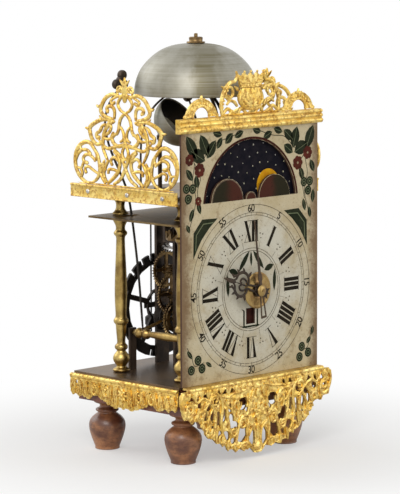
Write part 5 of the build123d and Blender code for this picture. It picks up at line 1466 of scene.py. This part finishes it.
APRON_SCROLLS = (
    (((98.5, -3), (99.6, -12), (95, -22), (88, -24), (85, -18), (88, -12.4), (92, -10)), (3, 4.6, 4.2, 3.4,
     2.4)),
    (((84, -28), (79, -22), (72, -20.4), (66, -15), (61, -7)), (2.6, 4.6, 4.8, 3.6, 2.4)),
    (((86, -4), (80, -12), (73, -9), (64, -13), (58, -20), (56, -30), (58, -44), (63, -46)), (2, 3.6, 4,
     4.6, 5, 4, 2.6)),
    (((60, -20), (66, -30), (66, -38), (61, -44)), (2, 3.6, 3.6, 2.4)),
    (((55, -6), (48, -13), (47, -22), (49, -34), (47, -44), (42, -53)), (2.4, 4, 4.4, 4.4, 3.6, 2)),
    (((50, -10), (40, -12), (30, -14), (26, -24), (28, -33)), (2, 4.4, 5, 4.6, 3)),
    (((40, -12), (41, -24), (39, -36), (37, -44), (30, -46)), (2, 3.4, 4, 3.8, 2.4)),
    (((12, -12), (12, -24), (15, -31), (22, -33), (27, -45), (30, -55), (37, -58)), (2.6, 4, 4.6, 4.4, 4,
     2.6)),
    (((13, -36), (15, -45), (14, -55), (17, -61)), (2.4, 4, 4.2, 2.4)),
    (((12, -40), (5, -46), (3.4, -56), (5, -63)), (2, 3.4, 3.6, 2.4)),
    (((6, -66), (12, -58), (20, -57), (26, -61)), (2, 3.4, 3.6, 2)),
    (((8, -5), (20, -8), (32, -9), (38, -11)), (2.2, 3.6, 3.6, 2)))
print("front apron has", 2 * len(HOLES), "holes")

# %% Front apron
APRON_VOLUTES = (
    (90, -15.5, 5, 90), (70, -35, 4.6, 0), (48, -49, 4.4, 200), (33, -45, 4.6, 120), (21, -39, 4.8, 30),
    (57, -12, 5, 240), (28, -20, 5.4, 160), (76, -25, 4.4, 300))
APRON_LEAVES = (
    ((94, -17), (96, -26), 5), ((86, -20), (86, -30.4), 5), ((78, -17), (79, -29), 5),
    ((70, -22), (74, -33), 4.6), ((64, -36), (69, -43), 4.4), ((60, -38), (62, -48), 4.6),
    ((53, -36), (55, -52), 4.8), ((46, -46), (47, -57), 4.6), ((38, -50), (40, -62), 4.8),
    ((30, -54), (30, -64.4), 5), ((22, -56), (22, -63), 4.6), ((14, -56), (14, -64), 4.4),
    ((44, -14), (36, -24), 4.4), ((62, -14), (54, -22), 4), ((35, -18), (33, -30), 4),
    ((68, -12), (70, -22), 4), ((20, -26), (12, -34), 4.6), ((8, -44), (12, -52), 3.6),
    ((0, -40), (0, -57), 5.6), ((0, -8), (0, -18), 6), ((5, -8), (9, -20), 4.4))
ROSETTE = (2, -31)
APRON = Panel((0, -0.0718, PLATE_TOP - 0.002))
bm = bmesh.new()
cast_plate(bm, APRON, whole(HALF_APRON),
           [(s * u, v, 1.3 * a, 1.3 * b) for s in (1, -1) for u, v, a, b in HOLES], 1.5, 1.0,
           lambda u, v: (1.0 + 0.5 * sin(abs(u) * 0.55 + v * 0.3) * cos(v * 0.45)
                         + 0.3 * cos(abs(u) * 0.2 - v)))
scrolls(bm, APRON, APRON_SCROLLS, 3, 0.85, 3.4, 1.9)
for u, v, radius, start in APRON_VOLUTES:
    stroke(bm, APRON, volute(u, v, radius, start, 400), (2.2, 3, 2.6), 3, 2.2)
for i in range(22):
    u = 6 + 4.3 * i
    leaf(bm, APRON, (u, -1.8), (u + (1.8 if i % 2 else -1.6), -7.4 - 1.6 * (i % 3)), 4.2, 0.5, 2.8, 1.6)
leaves(bm, APRON, APRON_LEAVES, 0.9, sway=0.8, thick=3.2, lift=2.1)
rosette(bm, APRON, *ROSETTE, (2.6, 10), 22.5, 5.4, 3, 2.6)
spun(bm, ((0, 0), (5.6, 0), (5.4, 2), (3.6, 3.6), (1.2, 4.4), (0, 4.5)), 20, APRON.axis(*ROSETTE))
spun(bm, ((0, 0), (6.2, 0), (6.4, 1.6), (5, 3), (4.4, 2.6), (3, 3.6), (0, 4)), 20, APRON.axis(0, -62.6))
moulding(bm, APRON, ((-1, 0), (-1, -1.8), (2.2, -1.8), (2.8, -1), (2.8, 0.4), (2, 1.4), (0.6, 1.9), (-6, 1.9),
                     (-6, 0.2), (-1, 0.2)), -90, 90)
finish_piece("front_apron_cast", bm, GILDING, "frame", ["front_apron"])
print("front apron cast")

# %% Side aprons
HALF_SIDE = (
    (0, 0), (71, 0), (72.4, -3), (72, -12), (71, -19), (68, -21.6), (63.6, -19), (59, -22.6), (54, -19.4),
    (49, -22.8), (44, -23), (39.6, -18.4), (35, -17.4), (30, -21.4), (24, -22.6), (17, -26), (10, -27.4),
    (4, -25.6), (0, -27.4))
LOBES = (
    (9, -25.6), (17.5, -24.6), (26, -20.8), (34, -17.6), (42, -20.4), (50, -21), (58, -20.6), (66, -19.6))
SIDE_RAIL = ((-1, -5.6), (0.6, -5.6), (1.5, -5.1), (1.3, -4.3), (1.9, -3.4), (2.3, -2), (1.8, -0.7), (0.8, 0),
             (-1, 0))
side_low, side_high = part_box("side_apron_left")
middle_back = ((side_low.y + side_high.y) / 2 - FACE_Y) / MM
for side, panel in both_sides("side_apron_", middle_back, -2):
    bm = bmesh.new()
    holes = [(s * u, -7.5, 1.1, 1.1) for s in (-1, 1) for u in (24, 36, 48, 62)]
    cast_plate(bm, panel, whole(HALF_SIDE), holes, 1.5, 0.4,
               lambda u, v: 0.5 + 0.35 * sin(abs(u) * 1.3 + v * 0.25))
    moulding(bm, panel, SIDE_RAIL, -71, 71)
    for u, low in LOBES:
        stroke(bm, panel, bend((u - 1, -6), (u, -12), (u + 1.4, low + 3.4), (u + 1.6, low), steps=2),
               (4, 7, 8.2, 7.4, 2.4), 2.2, 1.0)
        for k in (-1, 0, 1):
            foot = (u + 1.4 + 2.4 * k, low + 1.6 + 0.8 * k * k)
            leaf(bm, panel, (u - 0.8 + 1.2 * k, -7), foot, 1.7, 0.4 * k, 1.4, 2.1)
    rosette(bm, panel, 0, -13.5, (1.6, 6.4), 0, 3.8, 2.6, 2.0)
    bead(bm, panel, 0, -13.5, 2.4, 0.9, 2.6, mirror=False)
    for u in (22, 38.4):
        stroke(bm, panel, volute(u, -13, 4, 90, 380, stretch=1.3), (1.8, 2.6, 2), 2.4, 1.6)
    finish_piece("side_apron_cast_" + side, bm, GILDING, "frame", ["side_apron_" + side])
print("side aprons cast")

# %% [markdown]
# ## Size
#
# The finished clock has to stay the size that its solids have.
